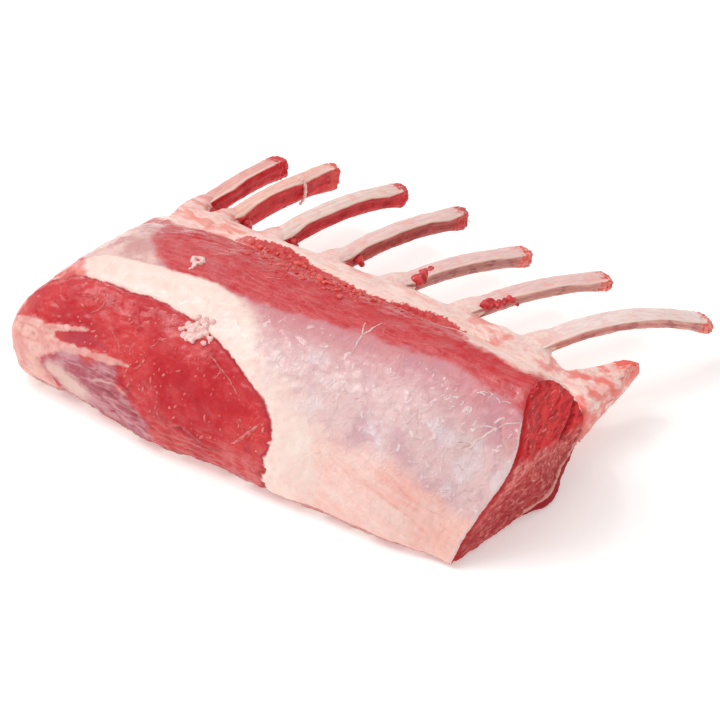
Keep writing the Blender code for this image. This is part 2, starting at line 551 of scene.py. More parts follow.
@dataclass
class Studio:
    """The camera, the floor and the lights."""

    azimuth: float = math.radians(38)
    elevation: float = math.radians(35)
    distance: float = 0.75
    lens: float = 106.5
    aim: Vector = field(default_factory=lambda: Vector((0.0139, -0.0180, 0.020)))
    floor_size: float = 12.0

    def build(self) -> None:
        """Sets up everything around the rack."""
        view = bpy.context.scene.view_settings
        view.view_transform = "Standard"
        self.add_camera()
        self.add_floor()
        self.add_light("window", Vector((-0.9, -0.45, 1.25)), 0.9, 7.5)
        self.add_light("ceiling", Vector((-0.35, -0.35, 1.5)), 0.7, 3.0)
        self.add_light("glint", Vector((-0.62, -0.12, 1.20)), 0.16, 1.2)
        world = bpy.data.worlds.new("studio")
        world.use_nodes = True
        backdrop = world.node_tree.nodes["Background"]
        backdrop.inputs["Color"].default_value = (1.0, 0.99, 0.98, 1.0)
        backdrop.inputs["Strength"].default_value = 0.62
        bpy.context.scene.world = world

    def add_camera(self) -> None:
        """Places the camera."""
        data = bpy.data.cameras.new("camera")
        data.lens = self.lens
        data.clip_start = 0.01
        camera = bpy.data.objects.new("camera", data)
        level = math.cos(self.elevation)
        away = Vector(
            (math.sin(self.azimuth) * level, -math.cos(self.azimuth) * level, math.sin(self.elevation))
        )
        camera.location = self.aim + away * self.distance
        camera.rotation_euler = away.to_track_quat("Z", "Y").to_euler()
        bpy.context.scene.collection.objects.link(camera)
        bpy.context.scene.camera = camera

    def add_light(self, name: str, place: Vector, size: float, power: float) -> None:
        """Hangs one softbox that faces the rack.

        Args:
            name: its name.
            place: where it hangs.
            size: its width and height.
            power: its power in watts.
        """
        data = bpy.data.lights.new(name, "AREA")
        data.shape = "DISK"
        data.size = size
        data.energy = power
        light = bpy.data.objects.new(name, data)
        light.location = place
        light.rotation_euler = place.to_track_quat("Z", "Y").to_euler()
        bpy.context.scene.collection.objects.link(light)

    def add_floor(self) -> None:
        """Lays the pale floor."""
        sheet = bmesh.new()
        bmesh.ops.create_grid(sheet, x_segments=1, y_segments=1, size=self.floor_size / 2)
        mesh = bpy.data.meshes.new("floor")
        sheet.to_mesh(mesh)
        sheet.free()
        finish = Finish("floor_paper")
        soft = finish.grain(finish.place(), 0.4, detail=2)
        paper = finish.mix(soft, tint(244, 243, 241), tint(246, 245, 243))
        shader = finish.node(
            "ShaderNodeBsdfPrincipled",
            {},
            {
                "Base Color": paper,
                "Roughness": 0.7,
                "Specular IOR Level": 0.2,
                "Emission Color": (1.0, 0.99, 0.985, 1.0),
                "Emission Strength": 0.29,
            },
        )
        finish.node("ShaderNodeOutputMaterial", {}, {"Surface": shader})
        mesh.materials.append(finish.material)
        floor = bpy.data.objects.new("floor", mesh)
        bpy.context.scene.collection.objects.link(floor)


# ---------------------------------------------------------------- loin


@dataclass(frozen=True)
class Chart:
    """Unrolls the skin of the loin.

    The first coordinate runs along the rack. The second is the girth: how far round the loin a place lies,
    from the rib side over the top and down the front. Both are in millimetres.
    """

    axis_y: float = -0.038
    axis_z: float = 0.008
    radius: float = 0.045

    def unroll(self, points: Array) -> Array:
        """Gives the chart place of each point."""
        angle = np.arctan2(points[:, 2] - self.axis_z, points[:, 1] - self.axis_y)
        angle = np.where(angle < -math.pi / 2, angle + 2 * math.pi, angle)
        return np.column_stack((points[:, 0], self.radius * angle)) / MM


@dataclass(frozen=True)
class Strand:
    """A line of tissue, or a crease, on the unrolled skin of the loin, in millimetres. Its dark share is painted shade
    along a crease or tear.
    """

    points: Sequence[Pair]
    width: float
    height: float
    pale: float = 0.0
    dark: float = 0.0
    blush: float = 0.0


LOBE_EDGE: Sequence[Pair] = (
    (-112, 113), (-96, 108), (-86, 104), (-79, 99.5), (-72, 98), (-62, 97), (-53, 96.8), (-45, 95.5),
    (-35, 95.6), (-26, 96.2), (-16, 98), (-5, 102), (7, 108), (16, 113), (20.5, 119), (22.5, 126),
    (21.5, 136), (22, 150), (23, 170), (24, 215),
)
BAND_TOP: Sequence[Pair] = (
    (-112, 120), (-96, 111), (-86, 103), (-81.5, 97), (-80.5, 91.5), (-75, 86.4), (-69, 84.5), (-60, 83.3),
    (-51, 81.6), (-43, 80.6), (-34, 79.5), (-25, 79.5), (-15, 80.7), (-8, 82), (-1, 86), (5, 93), (12, 97),
    (20, 101), (26, 104.5), (33, 109), (39, 114), (41, 125), (37, 160), (34, 215),
)
SILVER_TOP: Sequence[Pair] = (
    (-112, 46), (-90, 46), (-80, 47), (-74, 51), (-72, 58), (-69, 65), (-65, 70), (-60, 74), (-54, 77.5), (-48, 81),
    (-42, 82.5),
    (-34, 81.5), (-26, 80), (-12, 78), (2, 76), (16, 73.5), (31, 71), (45, 69), (60, 67), (74, 67.5),
    (89, 69), (100, 71), (112, 72),
)
SEAM_FAT: Sequence[Pair] = (
    (-112, 30), (-90, 36), (-80, 41), (-72, 46), (-66, 45), (-60, 41), (-52, 33), (-40, 22), (20, 22), (36, 30), (48, 42),
    (58, 49), (68, 54), (77, 56), (85, 55.5), (94, 50), (104, 42), (112, 30),
)
MEMBRANE_TOP: Sequence[Pair] = (
    (20, 121), (30, 115), (40, 113.5), (50, 114), (60, 112), (70, 114), (79, 119), (88, 124), (98, 127), (112, 128),
)
PINK_END: Sequence[Pair] = (
    (-112, 120), (-97, 121.5), (-91, 121), (-86, 119.6), (-82, 119), (-78, 119.6), (-75.6, 120.2), (-73.4, 121.8),
    (-70.8, 123), (-67, 124), (-68, 125.6), (-71.7, 127.5), (-77, 131), (-78.5, 133), (-75.4, 138.1),
    (-72, 146), (-76, 165), (-90, 212), (-125, 212), (-125, 120),
)
PURPLE: Sequence[Pair] = (
    (-72, 121.6), (-66.5, 118.6), (-61.5, 116.8), (-55, 117.5), (-49, 119.5), (-56, 119.7), (-60, 121.2),
    (-65, 122.4),
)
PINK_CORNER: Sequence[Pair] = (
    (-74, 98.3), (-78, 96), (-81, 91), (-90, 88), (-104, 90), (-108, 104), (-97, 108), (-90, 105.5),
    (-85, 104), (-79, 101.5),
)
LOW_SILVER: Sequence[Pair] = (
    (-76, 129), (-71, 126.4), (-66, 124), (-60, 124), (-50, 122.8), (-44, 121.8), (-42, 126), (-39.5, 128.8),
    (-35, 130.6), (-31, 132.5), (-28, 138), (-28, 152), (-36, 170), (-60, 180), (-76, 165), (-72, 146),
    (-75.4, 138), (-79.5, 132.5),
)
BEIGE_FACET: Sequence[Pair] = (
    (-78, 133), (-74, 130.9), (-70, 131), (-64, 131.8), (-59, 133.6), (-55.5, 136.5), (-59, 144), (-66, 146),
    (-70.5, 141), (-75.5, 138),
)
FACE_BORDER: Sequence[Pair] = ((-75, 38), (-60, 36), (-43, 31), (-32, 23.5), (-20, 20.5), (-8, 17.6), (8, 15))
FACE_SEAM: Sequence[Pair] = ((-38, 3.0), (-31, 4.6), (-20, 6.3), (-11, 6.6), (-2, 8.6), (6, 12))
FACE_SLIT: Sequence[Pair] = ((-1, 27), (-3.5, 22.5), (-7, 18.5), (-9, 17))
FACE_FRONT: Sequence[Pair] = (
    (-33, 52), (-37, 47), (-41, 42), (-47, 35), (-53, 27), (-58, 20), (-65, 12), (-69, 6), (-70.5, 0), (-71, -4),
)
LEAN_REACH: Sequence[Pair] = (
    (-90, -22), (-80, -13), (-70, -4), (-62, 3), (-56, 7), (-49, 9), (-42, 10), (-35, 9.5), (-25, 6.6),
    (-9, 5.6), (5, 6), (17, 9), (31, 10), (42, 7), (52, -2), (62, -12), (75, -20),
)

FINGERS: Sequence[tuple[Pair, Pair, float]] = (
    ((-77, 120.6), (-69, 117.9), 1.4), ((-70, 118.2), (-61.5, 116.0), 1.1),
    ((-72, 124.8), (-58, 122.8), 1.7), ((-59, 123), (-49, 121.9), 1.5), ((-51, 122), (-40, 121.0), 1.3),
)

STRANDS: Sequence[Strand] = (
    Strand(((-80, 121.4), (-69, 117.8), (-60, 115.9)), 1.4, 0.6),
    Strand(((-76, 125.4), (-58, 122.6), (-50, 121.7), (-38, 121)), 1.7, 0.6),
    Strand(((89, 76), (92, 80), (94, 83.5), (97, 87)), 0.45, -0.55, dark=0.35),
    Strand(((95.5, 77), (96.5, 82), (98, 86)), 0.4, -0.4, dark=0.3),
    Strand(((83, 73), (87, 76), (88.5, 81)), 0.4, -0.35, dark=0.3),
    Strand(((90, 116), (92, 118), (95, 117)), 0.45, -0.35, dark=0.3),
    Strand(((93, 90), (95, 96), (94, 102)), 0.45, -0.35, dark=0.25),
    Strand(((74, 100), (80, 96), (86, 92), (88, 90)), 0.6, 0.25, pale=0.35),
    Strand(((37, 118), (48, 122), (60, 123.5), (71, 127.5), (81, 136), (87, 142)), 0.8, 0.4, pale=0.6),
    Strand(((36, 128), (50, 131), (66, 136)), 0.8, 0.2, pale=0.25),
    # Painted shadow: this blush line is the shade just below the long pale line above it.
    Strand(((40, 121.5), (52, 125.5), (64, 128.5), (76, 135), (86, 144)), 0.6, -0.25, blush=0.3),
    Strand(((64, 119), (72, 125), (80, 129), (88, 131)), 0.6, -0.2, blush=0.35),
    Strand(((-80, 131), (-78.5, 135), (-76, 140), (-73, 146)), 0.5, -0.5, dark=0.6),
    Strand(((-97, 126), (-90, 127), (-82, 126.5), (-76, 125.5)), 0.6, 0.3, blush=0.4),
    Strand(((-96, 133), (-90, 137), (-86, 144), (-84, 152)), 0.6, -0.4, blush=0.5),
    Strand(((-92, 123.5), (-84, 122.3), (-78, 122.8), (-72, 121)), 0.5, -0.3, blush=0.5),
    Strand(((-19, 136), (-14, 134), (-8, 136), (-3, 138), (1, 137), (10, 135)), 0.7, -0.6, dark=0.55),
    Strand(((-30, 137), (-22, 139), (-12, 142), (0, 144)), 0.7, -0.5, dark=0.5),
    Strand(((-53, 132.4), (-47.7, 133), (-43, 133.4), (-38, 135), (-33, 136.2), (-29, 138)), 0.7, -0.7, dark=0.65),
    Strand(((-60, 134), (-52, 136), (-44, 139), (-35, 145)), 0.7, -0.6, dark=0.6),
    Strand(((-50, 128), (-44, 127), (-37, 129), (-28, 133)), 0.7, -0.4, dark=0.5),
    Strand(((-66, 128), (-58, 127.5), (-51, 129)), 0.7, -0.4, dark=0.45),
    Strand(((-52, 137.5), (-44, 141), (-37, 147)), 0.6, 0.4, pale=0.5),
    Strand(((-55, 131.6), (-50.8, 129.9), (-47, 129.4), (-43.6, 128.7), (-39.5, 129.7), (-31.7, 132)), 0.6, 0.5, pale=0.75),
    Strand(((-27, 143.6), (-21, 137.4), (-14, 133.2), (-9.4, 134.8), (-6, 136.7), (-2, 141)), 0.6, 0.4, pale=0.45),
    Strand(((-20, 134.6), (-14, 132.6), (-8, 134.4), (-2, 136.4), (4, 134.8)), 0.6, 0.4, pale=0.4),
    Strand(((-72, 141), (-60, 143), (-46, 146), (-36, 149)), 0.8, 0.4, pale=0.4),
    Strand(((-97, 122), (-91, 123), (-86, 123.5)), 0.5, -0.3, dark=0.5),
    Strand(((-94, 112), (-84, 112.5), (-76, 107), (-66, 103.6), (-57, 101.4)), 0.5, 0.22, pale=0.35),
    Strand(((-84, 103), (-78, 101.6), (-72, 99.6)), 0.5, -0.3, dark=0.35),
    Strand(((-76, 70), (-70, 63), (-61, 55), (-52, 53.5), (-44, 52)), 0.7, 0.3, pale=0.4),
    Strand(((40, 57), (52, 60), (62, 58)), 0.5, 0.25, pale=0.3),
    Strand(((60, 56), (66, 60), (74, 62), (80, 60)), 0.5, 0.25, pale=0.35),
)


@dataclass
class Loin:
    """The eye of meat with its cover of fat and silverskin."""

    bones: Sequence["RibLine"]
    name: str = "loin"
    grid: float = 0.0008
    chart: Chart = field(default_factory=Chart)

    def build(self) -> "Ground":
        """Sculpts, marks and dresses the loin.

        Returns:
            The finished skin, for what is laid on it.
        """
        skin = Skin(self.name, [node_mesh("loin")], self.grid)
        cut_end = smooth(0.086, 0.093, skin.points[:, 0])
        skin.relax(26, 0.5 - 0.42 * cut_end)
        skin.keep_above_floor()
        marks = self.marks(skin.points, skin.normals())
        for name in ("pink_end", "purple", "low_silver", "beige", "corner", "pale", "dark", "blush"):
            marks[name] = (marks[name] + skin.spread(marks[name])) / 2
        spots = self.chart.unroll(skin.points)
        skin.lift(self.relief(spots, skin.points, marks) * MM)
        skin.keep_above_floor()
        for name, values in marks.items():
            skin.mark(name, values)
        skin.mark("chart", np.column_stack((spots, np.zeros(len(spots)))))
        along, girth = spots.T
        skin.mark("sweep", np.column_stack((0.9 * along + 0.43 * girth, 0.9 * girth - 0.43 * along, 0 * along)))
        skin.place(LoinFinish().build(), Slot.MEAT, "loin")
        open_skin = marks["cut"] < 0.2
        return Ground(spots[open_skin], skin.points[open_skin], skin.normals()[open_skin])

    def marks(self, points: Array, facing: Array) -> dict[str, Array]:
        """Works out where each kind of surface lies.

        Args:
            points: places on the rack.
            facing: direction that each one faces.

        Returns:
            A value a point for each mark.
        """
        spots = self.chart.unroll(points)
        ragged = 1.7 * lumps(spots, (3.0, 2.4), 31) * smooth(12, 21, spots[:, 0]) * smooth(118, 124, spots[:, 1])
        ragged += 0.5 * lumps(spots, (3.5, 3.0), 32)
        face = points[:, 1:] / MM
        right_end = smooth(0.084, 0.088, points[:, 0])
        left_end = smooth(-0.3, -0.9, facing[:, 0]) * smooth(-0.088, -0.094, points[:, 0])
        torn = 1.6 * lumps(spots, (9, 7), 33) + 0.9 * lumps(spots, (3.5, 3), 34)
        marks = {
            "lobe_edge": ragged - beyond(LOBE_EDGE, spots),
            "band_top": beyond(BAND_TOP, spots) / (1 + 6 * smooth(-20, 12, spots[:, 0])),
            "silver": beyond(SILVER_TOP, spots),
            "seam_fat": torn - beyond(SEAM_FAT, spots),
            "membrane": beyond(MEMBRANE_TOP, spots),
            "pink_end": within(PINK_END, spots),
            "low_silver": within(LOW_SILVER, spots),
            "beige": within(BEIGE_FACET, spots),
            "purple": within(PURPLE, spots),
            "corner": within(PINK_CORNER, spots),
            "cut": smooth(0.2, 0.8, facing[:, 0]) * right_end,
            "left_end": left_end,
            "face_high": beyond(FACE_BORDER, face),
            "face_seam": beyond(FACE_SEAM, face),
            "face_slit": nearest_on(rounded(FACE_SLIT), face)[0],
            "under": smooth(-0.35, -0.8, facing[:, 2]),
            "bars": bone_bars(points, self.bones),
            "face_depth": beyond(FACE_FRONT, face),
            "girth": spots[:, 1],
            "along": spots[:, 0],
            "pale": np.zeros(len(points)),
            "dark": np.zeros(len(points)),
            "blush": np.zeros(len(points)),
            "floor_gap": points[:, 2] / MM,
            # foot: the downward-facing rim just above the floor, where a painted contact shade goes.
            "foot": smooth(-0.05, -0.5, facing[:, 2]) * smooth(7, 2.5, points[:, 2] / MM),
        }
        # The dark shares of the strands make up the painted shade along creases and tears.
        for strand in STRANDS:
            trace = self.trace(strand, spots)
            marks["pale"] = np.maximum(marks["pale"], strand.pale * trace)
            marks["dark"] = np.maximum(marks["dark"], strand.dark * trace)
            marks["blush"] = np.maximum(marks["blush"], strand.blush * trace)
        return marks

    @staticmethod
    def trace(strand: Strand, spots: Array) -> Array:
        """How strongly a strand shows at each chart place, thinning out at its ends."""
        gap, _, along = nearest_on(rounded(strand.points), spots)
        return bell(gap, strand.width) * smooth(0, 0.15, along) * smooth(1, 0.8, along)

    def relief(self, spots: Array, points: Array, marks: dict[str, Array]) -> Array:
        """Works out how far each point rises, in millimetres.

        Args:
            spots: chart places.
            points: places on the rack.
            marks: where each kind of surface lies.

        Returns:
            The rise of each point.
        """
        place = points / MM
        skin_side = (1 - marks["cut"]) * (1 - marks["left_end"])
        band = smooth(-0.4, 1.0, marks["lobe_edge"]) * smooth(-0.6, 1.4, marks["band_top"])
        lean = smooth(1.0, -1.0, marks["lobe_edge"])
        crease = bell(marks["lobe_edge"] + 1.0, 1.0) * smooth(-0.5, 1.0, marks["band_top"])
        strip = smooth(1.0, -1.0, marks["silver"]) * smooth(1, -1, marks["seam_fat"])
        border = smooth(-0.6, 1.2, marks["seam_fat"])
        end = smooth(-1, 1.0, marks["pink_end"])
        low = smooth(-1, 1, marks["low_silver"])
        face_high = smooth(-1, 1, marks["face_high"])
        silver = (1 - band) * (1 - lean) * (1 - strip) * (1 - border)

        rise = 0.6 * lumps(place, 27, 1) + 0.22 * lumps(place, 8, 2)
        rise += skin_side * (0.75 * band - 0.25 * crease + 0.6 * border + 0.6 * end + 0.25 * low)
        rise += skin_side * lean * (0.2 * lumps(spots, (4, 2.6), 3, 3) + 0.16 * lumps(place, 1.9, 14, 2))
        rise += skin_side * strip * (0.16 * lumps(spots, (7, 1.8), 4, 3) + 0.2 * lumps(place, 3.2, 15, 3))
        rise += skin_side * silver * (0.14 * lumps(place, 2.3, 5, 3) + 0.1 * lumps(spots, (6, 2.5), 16, 2))
        rise += skin_side * end * 0.35 * lumps(place, 4.0, 6, 3)
        rise += skin_side * low * 0.35 * lumps(spots, (7, 1.8), 7, 3)
        rise += skin_side * band * 0.12 * lumps(place, 4.0, 17, 3)
        for strand in STRANDS:
            rise += skin_side * strand.height * self.trace(strand, spots)

        rough_face = face_high * 0.5 * lumps(place, (3.0, 3.4, 3.4), 8, 3)
        fine_face = (1 - face_high) * 0.35 * lumps(place, (1.5, 2.6, 1.5), 9, 3)
        seam = 0.7 * bell(marks["face_seam"], 0.8) - 0.5 * bell(marks["face_seam"] + 1.6, 1.0)
        slit = -2.0 * bell(marks["face_slit"], 1.5)
        foot = 3.2 * bell(place[:, 1] + 22, 9) * bell(place[:, 2] - 2.5, 4.5)
        rise += marks["cut"] * (rough_face + fine_face + seam + slit + foot - 0.5)
        rim = bell(marks["cut"] - 0.3, 0.3) * smooth(0, 6, marks["silver"])
        rise += 0.55 * rim * (1 + 1.4 * lumps(place, 3, 10))
        rise += marks["left_end"] * (0.5 + 0.5 * lumps(place, 9, 19) + 0.3 * lumps(place, (2, 2.5, 4), 20, 3))
        hollow = smooth(0.2, 0.9, marks["under"]) * (1 - marks["bars"])
        return rise - 0.8 * hollow


@dataclass(frozen=True)
class Ground:
    """The finished skin of the loin, as the place where small things are laid."""

    spots: Array
    points: Array
    normals: Array

    def at(self, along: float, girth: float) -> tuple[Vector, Vector]:
        """Finds the skin at a chart place.

        Args:
            along: along the rack, in millimetres.
            girth: round the loin, in millimetres.

        Returns:
            The point and the direction that it faces.
        """
        gaps = np.hypot(self.spots[:, 0] - along, self.spots[:, 1] - girth)
        near = np.argpartition(gaps, 8)[:8]
        terms = np.column_stack((np.ones(8), self.spots[near] - (along, girth)))
        place = np.linalg.lstsq(terms, self.points[near], rcond=0.05)[0][0]
        return Vector(place), Vector(self.normals[near].mean(0)).normalized()


class LoinFinish(Finish):
    """Lean, fat, silverskin and the cut face, laid over each other."""

    def __init__(self) -> None:
        """Names the material."""
        super().__init__("loin_skin")

    def build(self) -> bpy.types.Material:
        """Paints the loin.

        Returns:
            The material.
        """
        place = self.place()
        chart = self.mark("chart", "Vector")
        wander = self.grain(place, 0.003, 5) - 0.5
        drift = self.grain(place, 0.009, 4, shift=7) - 0.5
        coarse = self.grain(place, 0.014, 3)
        middling = self.grain(place, 0.005, 4, shift=13)
        fine = self.grain(place, 0.0016, 4, shift=3)
        streaks = self.grain(chart, (8, 1.5, 1), 5, shift=5, warp=0.9)
        threads = self.cells(self.bent(chart, 1.2), (9, 4, 1)).rise(0.035, 0.0)
        edge = self.mark("lobe_edge") + wander * 1.4
        low_down = (self.mark("girth") + drift * 20).rise(102, 118)
        edge = (edge + drift * low_down * 3) * (1 - low_down * 0.5)
        pale, dark = self.mark("pale"), self.mark("dark")

        colour = self.lean(coarse, middling, fine, place)
        colour = self.mix(threads * coarse.rise(0.45, 0.6) * 0.4, colour, tint(236, 132, 128))
        film = (self.mark("girth") + drift * 16).rise(129, 137)
        colour = self.mix(film * streaks.rise(0.44, 0.6) * 0.55, colour, tint(216, 118, 114))
        colour = self.mix(film * streaks.rise(0.42, 0.32) * 0.5, colour, tint(168, 34, 42))
        strip = self.mix(streaks.rise(0.36, 0.66), tint(202, 56, 64), tint(219, 91, 95))
        strip = self.mix(drift.rise(0.0, 0.16) * 0.6, strip, tint(206, 96, 100))
        strip = self.mix(threads * 0.5, strip, tint(232, 140, 138))
        near_seam = (self.mark("girth") + drift * 20).rise(66, 54)
        strip = self.mix(near_seam * middling.rise(0.3, 0.5), strip, tint(204, 36, 44))
        left_film = (self.mark("along") + drift * 20).rise(-58, -74)
        strip = self.mix(left_film * 0.7, strip, tint(206, 112, 114))
        colour = self.mix((self.mark("silver") + wander).rise(1.8, -0.6) * edge.rise(-1, 0.5), colour, strip)

        silver = self.mark("silver") + drift * 6 + wander * 3
        pearl = self.silver(place, silver, middling)
        colour = self.mix(silver.rise(-1.2, 2.4) * edge.rise(-0.4, 0.4), colour, pearl)
        grey = (self.mark("along") + drift * 16).rise(-48, -58)
        patch = self.mix(drift.rise(-0.12, 0.14), tint(240, 200, 192), tint(216, 160, 156))
        colour = self.mix(silver.rise(-1.2, 3.0) * edge.rise(-0.4, 0.4) * grey, colour, patch)
        membrane = (self.mark("membrane") + drift * 12 + wander * 4).rise(-4, 6)
        pink = self.mix(coarse.rise(0.35, 0.7), tint(253, 212, 203), tint(252, 192, 182))
        pink = self.mix(middling.rise(0.55, 0.75) * 0.5, pink, tint(253, 226, 219))
        sweeps = self.grain(self.mark("sweep", "Vector"), (22, 2.2, 1), 5, shift=9, warp=0.8)
        pink = self.mix(sweeps.rise(0.5, 0.66) * 0.26, pink, tint(250, 180, 168))
        pink = self.mix(sweeps.rise(0.46, 0.34) * 0.26, pink, tint(255, 236, 228))
        warm = (self.mark("along") + drift * 30).rise(66, 92)
        pink = self.mix(warm * 0.4, pink, tint(254, 188, 172))
        colour = self.mix(membrane * edge.rise(-0.4, 0.4), colour, pink)
        cream = self.mix(middling.rise(0.3, 0.7), tint(255, 232, 222), tint(254, 221, 211))
        cream = self.mix((self.mark("along") + drift * 30).rise(-62, -84) * 0.6, cream, tint(250, 200, 190))
        band_top = (self.mark("band_top") + drift * 3.4 + wander * 2.2).rise(-1.1, 1.7)
        band = edge.rise(-0.5, 0.5) * band_top * (self.mark("along") + drift * 26).rise(-93, -80)
        colour = self.mix(band, colour, cream)
        rosy = self.mix(middling.rise(0.35, 0.65), tint(240, 150, 140), tint(216, 92, 90))
        colour = self.mix((self.mark("corner") + drift * 6 + wander * 4).rise(-1.2, 2.0), colour, rosy)
        haze = (self.mark("along") + drift * 24).rise(-84, -100) * edge.rise(0.5, -0.5)
        colour = self.mix(haze * 0.6, colour, tint(216, 112, 112))

        mauve = self.mix(drift.rise(-0.12, 0.1), tint(180, 86, 100), tint(206, 136, 146))
        mauve = self.mix(streaks.rise(0.5, 0.64) * 0.4, mauve, tint(228, 176, 176))
        folded = (self.mark("along") + drift * 30).rise(-56, -40) * streaks.rise(0.5, 0.4)
        mauve = self.mix(folded * 0.6, mauve, tint(164, 40, 52))
        colour = self.mix((self.mark("low_silver") + drift * 12 + wander * 4).rise(-1.6, 2.6), colour, mauve)
        colour = self.mix((self.mark("beige") + drift * 10 + wander * 4).rise(-1.5, 4.0), colour, tint(230, 190, 180))
        colour = self.mix((self.mark("purple") + wander * 3).rise(-0.8, 1.0) * 0.6, colour, tint(186, 66, 84))
        end = self.mix(middling.rise(0.35, 0.65), tint(243, 190, 180), tint(230, 160, 153))
        end = self.mix(fine.rise(0.55, 0.7) * 0.4, end, tint(210, 120, 116))
        end = self.mix(drift.rise(0.02, 0.14) * 0.3, end, tint(218, 140, 136))
        colour = self.mix((self.mark("pink_end") + wander * 3).rise(-0.7, 0.9), colour, end)
        for start, stop, width in FINGERS:
            finger = self.stroke(chart, start, stop, width) + wander * 2.2 + drift * 1.5
            colour = self.mix(finger.rise(-0.45, 0.5) * 0.85, colour, end)
        border = (self.mark("seam_fat") + drift * 9 + wander * 4).rise(-1.8, 2.2)
        colour = self.mix(border, colour, self.mix(streaks.rise(0.38, 0.7), tint(255, 216, 204), tint(250, 190, 178)))
        colour = self.mix((pale + wander * 0.3).rise(0.25, 0.75) * 0.75, colour, tint(248, 200, 192))
        # Painted shade along the creases and tears, from the dark mark.
        colour = self.mix((dark + wander * 0.3).rise(0.1, 0.8) * 0.7, colour, tint(150, 34, 44))
        # Painted shade: a dark red line in the crease where the red lobe meets the fat band.
        crease_shade = (edge + 0.5).rise(-0.8, 0.0) * (edge + 0.5).rise(0.8, 0.0) * self.mark("band_top").rise(-0.6, 0.6)
        colour = self.mix(crease_shade * middling.rise(0.3, 0.55) * 0.6, colour, tint(158, 28, 40))
        # Reddish streaks, and beside the long pale line a painted shadow below it.
        blush = self.mark("blush").rise(0.05, 0.6)
        colour = self.mix(blush * 0.6, colour, tint(226, 120, 112))
        # Painted contact shade along the foot of the loin, partly also the meat showing under the membrane.
        foot = (self.mark("foot") + wander * 0.6).rise(0.25, 0.75)
        colour = self.mix(foot * 0.65, colour, tint(158, 68, 64))
        rim = self.mark("cut").rise(0.05, 0.3) * silver.rise(0, 5)
        colour = self.mix(rim * 0.8, colour, tint(244, 218, 214))

        cap = self.mix(coarse.rise(0.3, 0.7), tint(218, 118, 114), tint(238, 170, 160))
        cords = self.grain(place, (0.004, 0.0016, 0.005), 4, shift=61, warp=0.6)
        cap = self.mix(cords.rise(0.5, 0.7) * 0.45, cap, tint(202, 72, 74))
        cap = self.mix(cords.rise(0.46, 0.32) * 0.4, cap, tint(248, 206, 196))
        cap = self.mix(middling.rise(0.5, 0.68) * 0.4, cap, tint(246, 200, 190))
        colour = self.mix((self.mark("left_end") + drift * 1.2).rise(0.15, 0.85), colour, cap)
        colour = self.mix(self.mark("under").rise(0.3, 0.8), colour, self.underside(coarse, middling, streaks))
        cut = (self.mark("cut") + wander * 0.6).rise(0.42, 0.54)
        colour = self.mix(cut, colour, self.cut_face(place, middling, fine, wander))

        glaze = self.grain(place, 0.007, 4, shift=19)
        coat = (glaze.rise(0.42, 0.62) * 0.5 + 0.08) * (1 - cut * 0.85)
        bumps = self.grain(place, 0.0011, 3, shift=21)
        relief = (fine * 0.7 + bumps * 0.35 + streaks * 0.2 + middling * 0.5) * (1 - silver.rise(0, 4) * 0.35)
        relief = relief + self.wrinkles(place).rise(0.45, 0.7) * silver.rise(1, 5) * edge.rise(-0.5, 0.5) * 0.35
        relief = relief * (1 - cut * 0.75)
        wet = Body(specular=0.2, coat_roughness=0.14)
        rough = fine * 0.3 + 0.26 + cut * 0.25
        return self.seal(colour, rough, coat * (1 - band * 0.5), relief * (1 - band * 0.6), wet)

    def stroke(self, chart: Wire, start: Pair, stop: Pair, width: float) -> Wire:
        """Measures a tapering stroke on the chart.

        Args:
            chart: the unrolled coordinates.
            start: its thick end.
            stop: its thin end.
            width: half its width at the start.

        Returns:
            How far inside the stroke each place lies, in millimetres.
        """
        reach = (stop[0] - start[0], stop[1] - start[1], 0.0)
        length = math.hypot(*reach)
        gap = self.node("ShaderNodeVectorMath", {"operation": "SUBTRACT"}, {0: chart, 1: (*start, 0.0)})
        run = self.node("ShaderNodeVectorMath", {"operation": "DOT_PRODUCT"}, {0: gap, 1: reach}, "Value")
        share = self.node("ShaderNodeMapRange", {}, {"Value": run, "From Max": length**2})
        foot = self.node("ShaderNodeVectorMath", {"operation": "SCALE"}, {0: reach, "Scale": share})
        away = self.node("ShaderNodeVectorMath", {"operation": "DISTANCE"}, {0: gap, 1: foot}, "Value")
        return (share * -0.4 + 1) * width - away

    def lean(self, coarse: Wire, middling: Wire, fine: Wire, place: Wire) -> Wire:
        """The red muscle with soft paler films."""
        colour = self.mix(coarse.rise(0.35, 0.65), tint(196, 37, 47), tint(212, 60, 64))
        colour = self.mix(middling.rise(0.48, 0.72) * 0.6, colour, tint(218, 74, 76))
        colour = self.mix(middling.rise(0.42, 0.28) * 0.6, colour, tint(176, 20, 34))
        film = self.grain(place, (0.02, 0.009, 0.009), 4, shift=31, warp=0.6).rise(0.56, 0.7)
        colour = self.mix(film * 0.45, colour, tint(214, 96, 96))
        return self.mix(fine.rise(0.64, 0.76) * 0.4, colour, tint(238, 140, 134))

    def silver(self, place: Wire, depth: Wire, middling: Wire) -> Wire:
        """The pearly membrane, pinker near its upper edge, with lilac and white clouds, painted glints as white dashes
        on its fold crests and painted shade in the fold troughs.
        """
        colour = self.mix(depth.rise(0, 24), tint(217, 140, 146), tint(235, 199, 198))
        lilac = self.grain(place, 0.011, 4, shift=9).rise(0.48, 0.66)
        colour = self.mix(lilac * 0.5, colour, tint(206, 154, 168))
        milk = self.grain(place, 0.013, 4, shift=17).rise(0.52, 0.64)
        colour = self.mix(milk * depth.rise(8, 20) * 0.6, colour, tint(240, 222, 226))
        # Painted highlight: white dashes on the crests of the membrane's folds stand in for wet glints.
        glint_dashes = self.wrinkles(place).rise(0.58, 0.67)
        crowd = self.grain(place, 0.012, 3, shift=37).rise(0.44, 0.58) * depth.rise(2, 7)
        colour = self.mix(glint_dashes * (crowd * 0.5 + 0.1), colour, tint(255, 242, 242))
